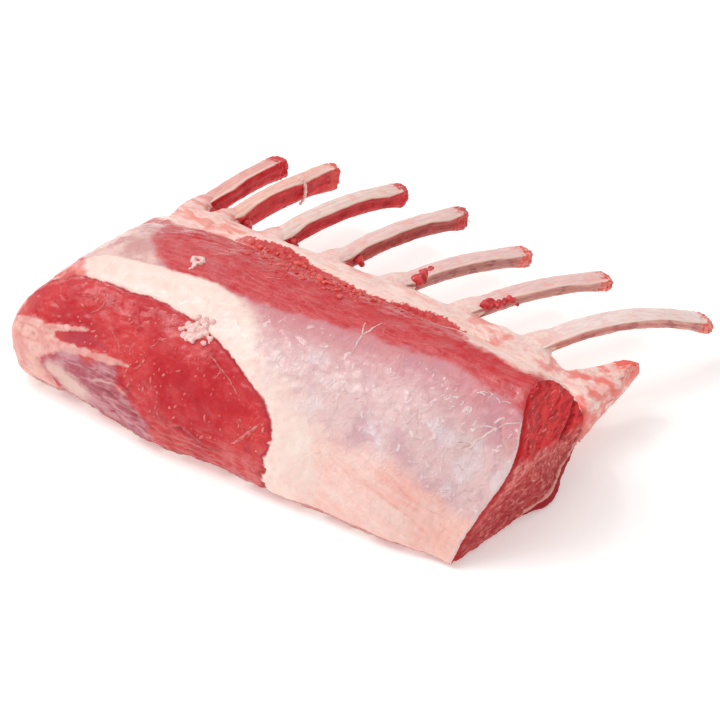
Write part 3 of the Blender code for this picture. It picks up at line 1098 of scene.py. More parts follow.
        # Painted shade: darker mauve in the troughs of the same folds.
        colour = self.mix(self.wrinkles(place).rise(0.44, 0.36) * crowd * 0.3, colour, tint(206, 138, 148))
        return self.mix(middling.rise(0.4, 0.26) * 0.25, colour, tint(204, 132, 140))

    def wrinkles(self, place: Wire) -> Wire:
        """Short slanting folds of the membrane."""
        return self.grain(place, (0.002, 0.0036, 0.002), 4, shift=23, warp=0.9)

    def cut_face(self, place: Wire, middling: Wire, fine: Wire, wander: Wire) -> Wire:
        """Bright open muscle above and closed grain below."""
        clots = self.grain(place, (0.0026, 0.0052, 0.0022), 6, shift=41, warp=0.9)
        high = self.mix(clots.rise(0.38, 0.6), tint(180, 10, 20), tint(224, 42, 46))
        # Pale flecks: partly marbling, partly painted glints on the wet open muscle.
        flecks = self.grain(place, (0.002, 0.003, 0.0013), 5, shift=47, warp=1.2).rise(0.57, 0.66)
        high = self.mix(flecks * middling.rise(0.4, 0.6) * 0.65, high, tint(246, 146, 140))
        grain = self.grain(place, (0.002, 0.003, 0.0012), 5, shift=43, warp=0.8)
        low = self.mix(grain.rise(0.36, 0.64), tint(186, 58, 62), tint(224, 112, 106))
        low = self.mix(grain.rise(0.58, 0.68) * 0.6, low, tint(250, 186, 176))
        low = self.mix(middling.rise(0.46, 0.34) * 0.5, low, tint(164, 30, 38))
        middle = self.mark("floor_gap").rise(16, 22) * self.mark("floor_gap").rise(38, 30)
        low = self.mix(middle * fine.rise(0.4, 0.6) * 0.4, low, tint(242, 160, 152))
        low = self.mix(self.mark("floor_gap").rise(17, 6) * 0.35, low, tint(148, 26, 34))
        face = self.mix((self.mark("face_high") + wander * 7).rise(-1.6, 1.6), low, high)
        skirt = self.mark("face_depth").rise(3.6, 1.2)
        face = self.mix(skirt * 0.8, face, tint(184, 14, 28))
        seam = self.mark("face_seam") + wander * 2
        face = self.mix(seam.rise(0.0, -0.8), face, tint(164, 24, 38))
        face = self.mix(seam.rise(-1.2, -0.4) * seam.rise(1.0, 0.2) * 0.8, face, tint(240, 178, 166))
        # Painted shade: darkest red inside the slit.
        return self.mix(self.mark("face_slit").rise(2.0, 0.6) * 0.8, face, tint(120, 8, 20))

    def underside(self, coarse: Wire, middling: Wire, streaks: Wire) -> Wire:
        """The rib side: bones under a membrane, with meat between them."""
        meat = self.mix(streaks.rise(0.35, 0.65), tint(192, 74, 78), tint(222, 132, 128))
        bone = self.mix(middling.rise(0.35, 0.7), tint(240, 212, 202), tint(232, 186, 178))
        flat = self.mark("under").rise(0.8, 1.0)
        sheet = self.mix(self.mark("bars").rise(0.3, 0.8) * flat, meat, bone)
        return self.mix(coarse.rise(0.5, 0.66) * 0.6, sheet, tint(246, 204, 194))


# ---------------------------------------------------------------- bones


@dataclass(frozen=True)
class RibLine:
    """The middle line of a rib and its frame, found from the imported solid."""

    knots: Array
    side: Array
    half_width: float
    half_height: float

    @classmethod
    def of(cls, node: str, parts: int = 9, lean: Sequence[float] | None = None) -> "RibLine":
        """Measures a packed rib.

        Args:
            node: its name.
            parts: stretches that it is measured in.
            lean: its direction, when it is too short to be measured.

        Returns:
            The line, from the root to the tip.
        """
        mesh = node_mesh(node)
        points = np.array([vertex.co for vertex in mesh.vertices])
        centre = points.mean(0)
        axis = np.linalg.svd(points - centre, full_matrices=False)[2][0] if lean is None else np.array(lean)
        axis *= np.sign(axis[1])
        along = (points - centre) @ axis
        limits = np.linspace(along.min(), along.max(), parts + 1)
        knots = []
        for low, high in zip(limits, limits[1:], strict=False):
            ring = points[(along >= low - 1e-6) & (along <= high + 1e-6)]
            knots.append((ring.min(0) + ring.max(0)) / 2 if len(ring) < 4 else ring.mean(0))
        line = np.array(knots)
        level = np.array([axis[1], -axis[0], 0.0])
        level /= np.linalg.norm(level)
        shape = cls(line, level, 1.0, 1.0)
        _, across, above = shape.locate(points)
        return cls(line, level, float(np.abs(across).max()), float(np.percentile(np.abs(above), 90)))

    @property
    def length(self) -> float:
        """Length of the measured line."""
        return float(np.linalg.norm(np.diff(self.knots, axis=0), axis=1).sum())

    def locate(self, points: Array) -> tuple[Array, Array, Array]:
        """Gives each point's place in the rib's own frame.

        Args:
            points: places on the rack.

        Returns:
            How far along the rib, across it (positive to the right end) and above it.
        """
        best = np.full(len(points), np.inf)
        found = np.zeros((3, len(points)))
        start = 0.0
        last = len(self.knots) - 2
        for index, (origin, end) in enumerate(zip(self.knots, self.knots[1:], strict=False)):
            step = end - origin
            size = np.linalg.norm(step)
            tangent = step / size
            offset = points - origin
            t = offset @ tangent
            held = np.clip(t, -1.0 if index == 0 else 0.0, 1.0 if index == last else size)
            gap = np.linalg.norm(offset - held[:, None] * tangent, axis=1)
            closer = gap < best
            best = np.where(closer, gap, best)
            values = np.array([start + t, offset @ self.side, offset @ np.cross(self.side, tangent)])
            found = np.where(closer, values, found)
            start += size
        return found[0], found[1], found[2]

    def at(self, along: float) -> tuple[Vector, Vector]:
        """The place and the direction of the line at a distance from the root."""
        rest = along
        for origin, end in zip(self.knots, self.knots[1:], strict=False):
            size = float(np.linalg.norm(end - origin))
            if rest <= size:
                break
            rest -= size
        tangent = Vector((end - origin) / size)
        return Vector(origin) + tangent * min(rest, size), tangent


def bone_bars(points: Array, bones: Sequence[RibLine]) -> Array:
    """Where the bones show through from below.

    Args:
        points: places on the rack.
        bones: the ribs' lines.

    Returns:
        1 over a bone and 0 between two.
    """
    shown = np.zeros(len(points))
    for bone in bones:
        root = bone.knots[0]
        lean = -bone.side[1] / bone.side[0] * 0.45
        middle = root[0] + (points[:, 1] - root[1]) * lean
        shown = np.maximum(shown, smooth(0.0052, 0.0036, np.abs(points[:, 0] - middle)))
    return shown


@dataclass(frozen=True)
class RibLook:
    """How one rib was scraped: its colours and the roughness of its tip."""

    number: int
    top: Colour
    side: Colour
    tip: Colour
    tip_depth: float
    meat: float
    ridge: float = 40.0


STUB_LEAN = (0.545, 0.839, 0.0)
RIB_LOOKS: Sequence[RibLook] = (
    RibLook(1, tint(240, 180, 170), tint(204, 18, 34), tint(200, 16, 32), 9.0, 1.0, 54.0),
    RibLook(2, tint(248, 198, 182), tint(212, 40, 44), tint(222, 84, 76), 5.0, 1.0, 48.0),
    RibLook(3, tint(244, 216, 206), tint(200, 22, 34), tint(206, 20, 34), 6.5, 1.0),
    RibLook(4, tint(244, 210, 204), tint(184, 74, 68), tint(208, 30, 40), 6.0, 0.7),
    RibLook(5, tint(244, 206, 200), tint(200, 142, 134), tint(236, 88, 80), 6.0, 0.2),
    RibLook(6, tint(244, 206, 200), tint(214, 154, 144), tint(228, 28, 34), 4.5, 0.2),
    RibLook(7, tint(250, 226, 220), tint(222, 154, 144), tint(226, 84, 80), 5.0, 0.2),
    RibLook(8, tint(252, 210, 198), tint(236, 130, 112), tint(244, 92, 74), 12.0, 0.3),
)


@dataclass
class Rib:
    """One scraped rib bone with a flat top, a crisp ridge and a hollow side."""

    look: RibLook
    line: RibLine
    grid: float = 0.00046

    @property
    def node(self) -> str:
        """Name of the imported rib."""
        return f"rib_{self.look.number}"

    def build(self) -> Skin:
        """Sculpts and dresses the bone.

        Returns:
            The skin.
        """
        skin = Skin(self.node, [node_mesh(self.node)], self.grid)
        skin.relax(5, 0.5)
        place = skin.points / MM
        seed = 20 + self.look.number
        along, across, above = self.line.locate(skin.points)
        to_tip = (along.max() - along) / MM
        skin.relax(9, 0.5 * smooth(4.5, 1.0, to_tip))
        middle = np.array([self.line.at(place)[0] for place in along])
        skin.points = middle + (skin.points - middle) * (0.6 + 0.4 * smooth(-0.002, 0.003, along))[:, None]
        around = np.degrees(np.arctan2(above / self.line.half_height, across / self.line.half_width))
        run = np.column_stack((along / MM, around / 30))
        wobble = lumps(run, (5, 1.2), seed, 3)
        scrape = lumps(run, (9, 0.35), seed + 60, 2)
        torn = smooth(self.look.tip_depth + 1, 1.0, to_tip)
        ridge = around - self.look.ridge - 3.5 * lumps(run[:, :1] * np.ones((1, 2)), (13, 13), seed + 80, 2)
        rise = 0.6 * bell(ridge, 12) - 0.3 * bell(around - 95, 28)
        rise += 0.35 * bell(around - 145, 14) - 0.55 * bell(around - 6, 20) - 0.2 * bell(around + 30, 20)
        rise *= smooth(0.5, 3, to_tip)
        rise += 0.15 * wobble + 0.1 * scrape + 0.1 * lumps(place, 2.2, seed + 20, 3)
        rise += torn * (0.55 * lumps(place, 1.7, seed + 40, 2) + 0.35 * lumps(place, 0.8, seed + 45, 1))
        skin.lift(rise * MM)
        skin.relax(1, 0.25)
        skin.mark("side", smooth(4, -4, ridge) * smooth(-95, -60, around))
        # ridge: where the painted highlight runs along the crisp edge.
        skin.mark("ridge", bell(ridge - 4, 9))
        # groove: the hollow in the side face, where painted shade goes.
        skin.mark("groove", bell(around - 14 - 4 * wobble, 12))
        skin.mark("below", smooth(-40, -70, around) * smooth(-175, -120, around))
        skin.mark("to_tip", to_tip)
        skin.mark("run", np.column_stack((run, np.zeros(len(along)))))
        radius = np.hypot(across / self.line.half_width, above / self.line.half_height)
        facing = skin.normals() @ np.array(self.line.at(self.line.length)[1])
        skin.mark("marrow", smooth(0.62, 0.45, radius) * smooth(0.5, 0.8, facing))
        skin.place(RibFinish(self.look).build(), Slot.BONE, self.node)
        return skin


class RibFinish(Finish):
    """Scraped bone with traces of meat and a red tip."""

    def __init__(self, look: RibLook) -> None:
        """Keeps the rib's own colours."""
        super().__init__(f"rib_{look.number}_bone")
        self.look = look

    def build(self) -> bpy.types.Material:
        """Paints the bone.

        Returns:
            The material.
        """
        place = self.place()
        run = self.mark("run", "Vector")
        number = self.look.number
        scrape = self.grain(run, (6, 0.5, 1), 5, shift=number, warp=0.6)
        fine = self.grain(place, 0.0013, 4, shift=number)
        cloud = self.grain(place, 0.005, 4, shift=number * 3)
        wander = fine - 0.5
        red, green, blue, _ = self.look.top
        grey = (red * 0.88, green * 0.84, blue * 0.86, 1.0)
        blush = (red, green * 0.68, blue * 0.66, 1.0)
        colour = self.mix(scrape.rise(0.42, 0.6) * 0.8, self.look.top, grey)
        colour = self.mix(cloud.rise(0.5, 0.68) * 0.6, colour, blush)
        red, green, blue, _ = self.look.side
        deep = (red * 0.72, green * 0.55, blue * 0.6, 1.0)
        fresh = (min(red * 1.2, 1), green * 1.6 + 0.03, blue * 1.5 + 0.03, 1.0)
        side = self.mix(cloud.rise(0.36, 0.5), deep, self.look.side)
        side = self.mix(scrape.rise(0.5, 0.66) * 0.7, side, fresh)
        # Painted shade: the darker side colour in the hollow groove.
        side = self.mix(self.mark("groove") * 0.6, side, deep)
        colour = self.mix((self.mark("side") + wander * 0.5).rise(0.35, 0.65), colour, side)
        # Painted highlight: a cream line along the ridge edge.
        colour = self.mix(self.mark("ridge").rise(0.3, 0.9) * 0.6, colour, tint(252, 226, 210))
        colour = self.mix(self.mark("below") * 0.7, colour, tint(216, 160, 150))
        reach = self.mark("to_tip") + wander * 12 - self.mark("side") * 3
        tip = reach.rise(self.look.tip_depth, self.look.tip_depth * 0.4)
        shred = fresh if self.look.meat > 0.5 else tint(244, 156, 142)
        colour = self.mix(tip * 0.9, colour, self.mix(fine.rise(0.42, 0.62), self.look.tip, shred))
        colour = self.mix(self.mark("marrow").rise(0.3, 0.8) * 0.8, colour, tint(170, 26, 32))
        relief = scrape * 0.35 + fine * 0.4 + self.grain(place, 0.0007, 2) * 0.2
        gloss = cloud.rise(0.3, 0.7) * 0.25 + 0.05
        return self.seal(colour, fine * 0.3 + 0.3, gloss, relief, Body(specular=0.2, coat_roughness=0.16))


# ---------------------------------------------------------------- rib bed


@dataclass
class RibBed:
    """The strip of fat and rib meat that the bones stand in."""

    bones: Sequence[RibLine]
    name: str = "rib_bed"
    grid: float = 0.0007
    collar_length: float = 0.013
    tuck: Sequence[Pair] = ((-8.5, 2.4), (-2, 5.4), (3.9, 8.3), (11.2, 11.3), (19.3, 12.6), (35.3, 14.2), (41, 14.6))
    web: Sequence[Sequence[float]] = (
        (77, 17, 23.5), (86, 10, 22.0), (92.8, 6, 20), (93.2, 39.5, 21.6), (93.2, 40.5, 16.2), (88.5, 37, 21.8),
        (87.5, 37, 16.5), (79, 16, 13), (93.2, 5, 8.5), (93.2, 12, 20.6), (93.2, 2, 7.5),
    )

    def collars(self) -> bpy.types.Mesh:
        """Fat that swells round the foot of every bone and thins out along it, and the web beside the last one.

        Returns:
            One mesh of closed shells.
        """
        shells = bmesh.new()
        for bone in self.bones:
            start, tangent = bone.at(0.002)
            flat = Vector(bone.side)
            up = flat.cross(tangent)
            turn = Matrix((flat, up, tangent)).transposed().to_4x4()
            sink = up * 0.0002 - flat * 0.0009
            place = Matrix.Translation(start + sink)
            made = bmesh.ops.create_uvsphere(shells, u_segments=24, v_segments=14, radius=1)
            for vertex in made["verts"]:
                x, y, z = vertex.co
                radius = max(math.hypot(x, y), 1e-6)
                square = 1.14 / max(abs(x / radius) ** 3 + abs(y / radius) ** 3, 0.1) ** (1 / 3)
                size = Vector((x * bone.half_width * square, y * bone.half_height * square, z * self.collar_length))
                vertex.co = place @ turn @ size
        corners = [shells.verts.new(Vector(corner) * MM) for corner in self.web]
        bmesh.ops.convex_hull(shells, input=corners)
        mesh = bpy.data.meshes.new("collars")
        shells.to_mesh(mesh)
        shells.free()
        return mesh

    def build(self) -> Ground:
        """Sculpts and dresses the strip.

        Returns:
            Its upper side, charted from above, for what is laid on it.
        """
        collars = self.collars()
        skin = Skin(self.name, [node_mesh("rib_bed"), collars], self.grid)
        bpy.data.meshes.remove(collars)
        x, y, z = skin.points.copy().T
        skin.relax(9, 0.5 - 0.4 * smooth(0.083, 0.088, x) * smooth(0.006, 0.012, y) * smooth(0.01, 0.014, z))
        x, y, z = skin.points.copy().T
        lowest = np.interp(y / MM, *np.array(self.tuck).T) * MM
        skin.points[:, 2] = z + np.maximum(0, lowest - z) * smooth(0.083, 0.087, x) * (y > -0.0085)
        skin.relax(2, 0.5 * smooth(0.082, 0.086, x))
        skin.keep_above_floor()
        place = skin.points / MM
        facing = skin.normals()
        to_bone = self.to_bone(skin.points)
        top = smooth(0.1, 0.6, facing[:, 2])
        reach = beyond(LEAN_REACH, place[:, :2])
        lean = smooth(0.6, -0.6, reach)
        folds = lumps(place, (13, 3.0, 3.0), 12, 3)
        rise = 0.3 + 0.35 * lumps(place, 14, 11) + 0.14 * lumps(place, 2.4, 13, 3)
        rise += top * (1 - lean) * smooth(0.5, 4, to_bone) * 0.5 * folds
        rise += top * (0.45 * bell(reach - 0.9, 1.0) + 0.25 * lean * lumps(place, 2.0, 18, 3))
        hollow = smooth(0.2, 0.8, -facing[:, 2]) * (1 - bone_bars(skin.points, self.bones))
        rise -= 0.9 * hollow * smooth(84, 80, place[:, 0])
        skin.lift(rise * MM)
        skin.keep_above_floor()
        skin.mark("top", top)
        skin.mark("lean", -reach)
        skin.mark("along", place[:, 0])
        skin.mark("under", smooth(0.1, 0.5, -facing[:, 2]))
        skin.mark("bars", bone_bars(skin.points, self.bones))
        skin.mark("to_bone", to_bone)
        skin.mark("meat", self.root_meat(skin.points))
        skin.mark("stub_tip", smooth(11, 3, np.linalg.norm((place - (91, 38, 21)) * (1, 1, 1.6), axis=1)))
        skin.mark("rows", np.column_stack((place[:, 0], reach, np.zeros(len(place)))))
        skin.place(BedFinish().build(), Slot.FAT, "rib_bed")
        open_sky = skin.normals()[:, 2] > 0.2
        return Ground(place[open_sky, :2], skin.points[open_sky], skin.normals()[open_sky])

    def root_meat(self, points: Array) -> Array:
        """The red meat left on the right side of the first bones' roots, 0 to 1."""
        shown = np.zeros(len(points))
        for bone in self.bones[:4]:
            along, across, above = bone.locate(points)
            share = smooth(-5, -1, along / MM) * smooth(22, 14, along / MM)
            share *= smooth(0.45, 0.85, across / bone.half_width) * smooth(4.0, 2.6, across / bone.half_width)
            shown = np.maximum(shown, share * smooth(0.75, 0.2, above / bone.half_height))
        return shown

    def to_bone(self, points: Array) -> Array:
        """Millimetres from the edge of the nearest bone's top face."""
        gaps = []
        for bone in self.bones:
            _, across, above = bone.locate(points)
            gaps.append(np.hypot(across, above) - bone.half_width)
        return np.min(gaps, axis=0) / MM


class BedFinish(Finish):
    """Pink and cream fat in folds."""

    def __init__(self) -> None:
        """Names the material."""
        super().__init__("rib_fat")

    def build(self) -> bpy.types.Material:
        """Paints the strip.

        Returns:
            The material.
        """
        place = self.place()
        folds = self.grain(place, (0.012, 0.0024, 0.0028), 5, shift=2, warp=0.8)
        cloud = self.grain(place, 0.007, 4, shift=4)
        fine = self.grain(place, 0.0015, 4)
        wander = fine - 0.5
        drift = cloud - 0.5
        right = (self.mark("along") + drift * 40).rise(10, 60)
        left = (self.mark("along") + drift * 30).rise(-44, -60)
        colour = self.mix(folds.rise(0.42, 0.6), tint(255, 226, 216), tint(252, 194, 184))
        colour = self.mix(cloud.rise(0.5, 0.62) * (right * 0.5 + 0.12), colour, tint(240, 112, 102))
        end = (self.mark("along") + drift * 20).rise(78, 88) * cloud.rise(0.42, 0.56)
        colour = self.mix(end * 0.8, colour, tint(242, 116, 106))
        colour = self.mix(folds.rise(0.42, 0.32) * 0.4, colour, tint(226, 124, 114))
        colour = self.mix(left * folds.rise(0.3, 0.62) * 0.65, colour, tint(226, 110, 98))
        stripes = self.grain(self.bent(self.mark("rows", "Vector"), 0.5), (30, 1.3, 1), 3, shift=6)
        rows = stripes.rise(0.52, 0.62) * right * self.mark("lean").rise(-16, -8)
        colour = self.mix(rows * 0.6, colour, tint(238, 128, 118))
        bone = (self.mark("to_bone") + wander * 3).rise(2.5, -0.5) * self.mark("top")
        grey = self.mix(fine.rise(0.35, 0.65), tint(248, 222, 214), tint(240, 200, 192))
        web = (self.mark("along") + drift * 8).rise(80, 74)
        colour = self.mix(bone * (1 - left * 0.7) * web * 0.7, colour, grey)
        colour = self.mix((self.mark("stub_tip") + wander).rise(0.3, 0.6) * 0.9, colour, tint(244, 92, 74))
        red = self.mix(cloud.rise(0.4, 0.6), tint(176, 8, 24), tint(220, 44, 46))
        colour = self.mix((self.mark("meat") + wander * 0.8).rise(0.3, 0.6), colour, red)
        border = self.mark("lean") + wander * 4 + drift * 5
        colour = self.mix(border.rise(-4, -1.5) * border.rise(0.5, -0.5) * 0.7, colour, tint(255, 226, 214))
        meat = self.mix(fine.rise(0.38, 0.62), tint(192, 34, 42), tint(218, 70, 68))
        meat = self.mix(cloud.rise(0.5, 0.66) * 0.6, meat, tint(216, 100, 98))
        colour = self.mix(border.rise(-0.5, 0.5), colour, meat)
        meat = self.mix(folds.rise(0.35, 0.65), tint(190, 70, 74), tint(222, 128, 124))
        bars = self.mix(cloud.rise(0.35, 0.7), tint(240, 212, 202), tint(232, 186, 178))
        below = self.mix(self.mark("bars").rise(0.3, 0.8), meat, bars)
        below = self.mix(cloud.rise(0.5, 0.62) * 0.6, below, tint(246, 204, 194))
        colour = self.mix(self.mark("under").rise(0.3, 0.8), colour, below)
        relief = folds * 0.8 + fine * 0.5
        gloss = cloud.rise(0.3, 0.7) * 0.4 + 0.1
        return self.seal(colour, fine * 0.3 + 0.28, gloss, relief, Body(specular=0.35))


# ---------------------------------------------------------------- small things


def laid(place: Vector, up: Vector, along: Vector, size: Sequence[float]) -> Matrix:
    """Stretches a unit shape and lays it on a surface.

    Args:
        place: its middle.
        up: direction of its third axis.
        along: rough direction of its first axis.
        size: half its length, width and height.

    Returns:
        The matrix for a bmesh shape.
    """
    side = up.cross(along).normalized()
    first = side.cross(up)
    turn = Matrix((first, side, up)).transposed().to_4x4()
    return Matrix.Translation(place) @ turn @ Matrix.Diagonal((*size, 1.0))


class SpeckFinish(Finish):
    """A finish in two close colours for fat or meat scraps."""

    def __init__(self, name: str, first: Colour, second: Colour, size: float = 0.002) -> None:
        """Keeps its colours.

        Args:
            name: name of the material.
            first: one colour.
            second: the other.
            size: how far apart the clouds of colour lie.
        """
        super().__init__(name)
        self.first = first
        self.second = second
        self.size = size

    def build(self) -> bpy.types.Material:
        """Paints the scraps.

        Returns:
            The material.
        """
        cloud = self.grain(self.place(), self.size, 4)
        fine = self.grain(self.place(), self.size / 4, 3, shift=2)
        colour = self.mix(cloud.rise(0.36, 0.64), self.first, self.second)
        return self.seal(colour, fine * 0.3 + 0.25, cloud * 0.4 + 0.1, fine * 0.3, Body(scatter=0.0015))


def scraps_piece(name: str, shapes: bmesh.types.BMesh, finish: bpy.types.Material, slot: Slot) -> bpy.types.Object:
    """Turns a bmesh of loose small shapes into one piece.

    Args:
        name: its name.
        shapes: the shapes, which are freed.
        finish: the material.
        slot: the record's slot for it, handed on to attach, which does not use it.

    Returns:
        The piece.
    """
    mesh = bpy.data.meshes.new(name)
    shapes.to_mesh(mesh)
    shapes.free()
    mesh.materials.append(finish)
    mesh.shade_smooth()
    return attach(bpy.data.objects.new(name, mesh), slot)


def lay_fleck(shapes: bmesh.types.BMesh, matrix: Matrix, rough: float, levels: int = 1) -> None:
    """Adds one small uneven fleck.

    Args:
        shapes: where it is added.
        matrix: its place and size.
        rough: how far its surface is bent.
        levels: how finely it is divided.
    """
    made = bmesh.ops.create_icosphere(shapes, subdivisions=levels, radius=1.0, matrix=matrix)
    for vertex in made["verts"]:
        vertex.co += noise.noise_vector(vertex.co / (0.7 * MM)) * rough


@dataclass
class FibreFlecks:
    """Short pale flecks of tissue on the lean."""

    ground: Ground
    count: int = 110
    seed: int = 5

    def build(self) -> bpy.types.Object:
        """Scatters the flecks over the red lobe.

        Returns:
            The piece.
        """
        dice = np.random.default_rng(self.seed)
        shapes = bmesh.new()
        laid_down = 0
        while laid_down < self.count:
            x, girth = dice.uniform(-88, 18), dice.uniform(100, 134)
            edge = float(-beyond(LOBE_EDGE, np.array([[x, girth]]))[0])
            end = float(within(PINK_END, np.array([[x, girth]]))[0])
            low = float(within(LOW_SILVER, np.array([[x, girth]]))[0])
            if edge > -3 or max(end, low) > -2 or dice.random() > smooth(-95, -35, np.float64(x)) + 0.15:
                continue
            place, up = self.ground.at(x, girth)
            rise_line = Vector((0.45, -0.35, 1.0)) if x > -60 else Vector((1.0, -0.2, -0.5))
            turn = Vector(dice.normal(0, 0.35, 3))
            long = dice.choice((0.55, 0.9, 1.4), p=(0.55, 0.28, 0.17)) * dice.uniform(0.8, 1.2) * MM
            wide = dice.uniform(0.42, 0.62) * MM
            lay_fleck(shapes, laid(place, up, rise_line + turn, (long, wide, wide * 0.5)), wide * 0.45)
            laid_down += 1
        finish = SpeckFinish("fleck_tissue", tint(214, 66, 68), tint(236, 120, 112), 0.004).build()
        return scraps_piece("tissue_flecks", shapes, finish, Slot.FAT)


SHRED_GLINT_SPOTS: Sequence[Pair] = (
    (68, 82), (71, 80), (75, 78), (79, 80), (65, 84), (58, 85), (50, 85), (53, 83), (26, 93), (47, 103), (84, 103),
    (86, 71), (81, 72), (61, 95), (86, 111), (83, 118), (74, 84), (55, 92), (70, 108), (43, 96),
)


@dataclass
class SilverShredGlints:
    """Curled white shreds in loose groups on the silverskin, partly tissue and partly a painted highlight standing in
    for wet glints.
    """

    ground: Ground
    group: int = 3
    seed: int = 12

    def build(self) -> bpy.types.Object:
        """Lays every shred as a short chain of beads.

        Returns:
            The piece.
        """
        dice = np.random.default_rng(self.seed)
        shapes = bmesh.new()
        for x, girth in SHRED_GLINT_SPOTS:
            for _ in range(self.group):
                spot = np.array((x, girth)) + dice.normal(0, (1.7, 1.2))
                heading, bend = dice.normal(-0.5, 0.45), dice.normal(0, 0.3)
                wide = dice.uniform(0.18, 0.32) * MM
                for _ in range(int(dice.integers(3, 8))):
                    step = 0.4 * np.array((math.cos(heading), math.sin(heading)))
                    place, up = self.ground.at(*spot)
                    ahead = self.ground.at(*(spot + step))[0] - place
                    lay_fleck(shapes, laid(place, up, ahead, (0.34 * MM, wide, wide * 0.7)), wide * 0.3, 1)
                    spot = spot + step
                    heading += bend
        # Near-white colour: partly the shreds' tissue, partly painted glints.
        finish = SpeckFinish("shred_glint_tissue", tint(236, 196, 198), tint(250, 226, 226), 0.003).build()
        return scraps_piece("silver_shred_glints", shapes, finish, Slot.FAT)


@dataclass(frozen=True)
class Thread:
    """A raised line of tissue on the loin: its course on the unrolled skin and its half width."""

    points: Sequence[Pair]
    width: float


SILVER_THREADS: Sequence[Thread] = (
    Thread(((96, 73.5), (93, 75.5), (90, 79), (87, 84), (85, 89), (84, 95)), 0.6),
    Thread(((87, 84), (84, 90), (81, 95), (79.5, 99)), 0.5),
    Thread(((90, 79), (86, 80.5), (82, 84)), 0.4),
    Thread(((87, 85), (89, 90), (90.5, 95)), 0.4),
    Thread(((85, 89), (81.5, 91), (79, 94)), 0.36),
    Thread(((86, 117), (88, 113), (91, 110.5)), 0.4),
    Thread(((33, 83), (32.5, 78), (31.5, 72), (32.5, 66), (33, 62)), 0.46),
    Thread(((31.5, 72), (29.5, 69), (28.4, 66)), 0.36),
)
LEAN_THREADS: Sequence[Thread] = (
    Thread(((7.5, 132), (10, 129), (13, 125), (16.5, 120)), 0.8),
    Thread(((15, 133), (17, 138), (22, 144)), 0.45),
    Thread(((-17, 101), (-13, 104.5), (-8, 107), (0, 111), (6, 116)), 0.4),
    Thread(((-25, 69), (-21, 68.4), (-16, 69.2), (-12, 69)), 0.4),
    Thread(((-21, 62.4), (-18, 60), (-14.5, 58)), 0.4),
    Thread(((-17, 65), (-13, 64), (-10, 61.5)), 0.36),
    Thread(((-48, 62), (-44, 63.2), (-38, 62.6)), 0.36),
    Thread(((-70, 106), (-66, 104.4), (-61, 104)), 0.34),
    Thread(((-63, 110), (-60.5, 107), (-60, 103.5)), 0.34),
    Thread(((-52, 112), (-48, 114.5), (-45, 118)), 0.36),
    Thread(((-34, 112), (-31, 108.5), (-28, 106)), 0.36),
)


@dataclass
class TissueThreads:
    """Thin raised lines of connective tissue on the loin."""

    ground: Ground
    name: str
    threads: Sequence[Thread]
    dark: Colour
    light: Colour
    step: float = 0.3
    seed: int = 23

    def build(self) -> bpy.types.Object:
        """Lays every thread as a chain of overlapping beads that thins out at both ends.

        Returns:
            The piece.
        """
        dice = np.random.default_rng(self.seed)
        shapes = bmesh.new()
        for thread in self.threads:
            course = rounded(thread.points, 10)
            run = np.concatenate(((0.0,), np.cumsum(np.hypot(*np.diff(course, axis=0).T))))
            stops = np.arange(0, run[-1], self.step)
            spots = np.column_stack([np.interp(stops, run, course[:, axis]) for axis in (0, 1)])
            spots += 0.35 * np.column_stack([lumps(spots, 2.6, seed) for seed in (71, 72)])
            for index, spot in enumerate(spots[:-1]):
                share = stops[index] / run[-1]
                thin = min(1.0, 0.3 + 3 * share, 0.3 + 3 * (1 - share)) * dice.uniform(0.8, 1.1)
                wide = thread.width * thin * MM
                place, up = self.ground.at(*spot)
                ahead = self.ground.at(*spots[index + 1])[0] - place
                size = (self.step * 0.95 * MM, wide, wide * 0.5)
                lay_fleck(shapes, laid(place - up * wide * 0.2, up, ahead, size), wide * 0.12, 1)
        finish = SpeckFinish(f"{self.name}_tissue", self.dark, self.light, 0.002).build()
        return scraps_piece(self.name, shapes, finish, Slot.FAT)


@dataclass
class MeatCrumbs:
    """Torn bright crumbs of meat along the seam between the loin and the rib fat."""

    ground: Ground
    bed: Ground
    count: int = 300
    seed: int = 8

    def build(self) -> bpy.types.Object:
        """Scatters the crumbs, densest in the middle of the seam.

        Returns:
            The piece.
        """
        dice = np.random.default_rng(self.seed)
        shapes = bmesh.new()
        for _ in range(self.count):
            if dice.random() < 0.6:
                x = float(np.clip(dice.normal(-2, 17), -40, 38))
                place, up = self.ground.at(x, dice.normal(49, 4.0))
            else:
                x = float(np.clip(dice.normal(-24, 17), -55, 34))
                place, up = self.bed.at(x, float(np.interp(x, (-55, -42, -25, 5, 34), (5, 7.5, 4.5, 3.5, 8))) - abs(dice.normal(0, 2)))
            along = Vector((1.0, 0.0, 0.0)) + Vector(dice.normal(0, 0.8, 3))
            size = float(np.clip(dice.lognormal(-0.75, 0.45), 0.2, 1.3)) * MM
            spread = (size * dice.uniform(1.0, 2.0), size, size * dice.uniform(0.5, 0.9))
            lay_fleck(shapes, laid(place, up, along, spread), size * 0.7)
        finish = SpeckFinish("crumb_meat", tint(216, 20, 28), tint(250, 110, 96), 0.0016).build()
        return scraps_piece("meat_crumbs", shapes, finish, Slot.MEAT)


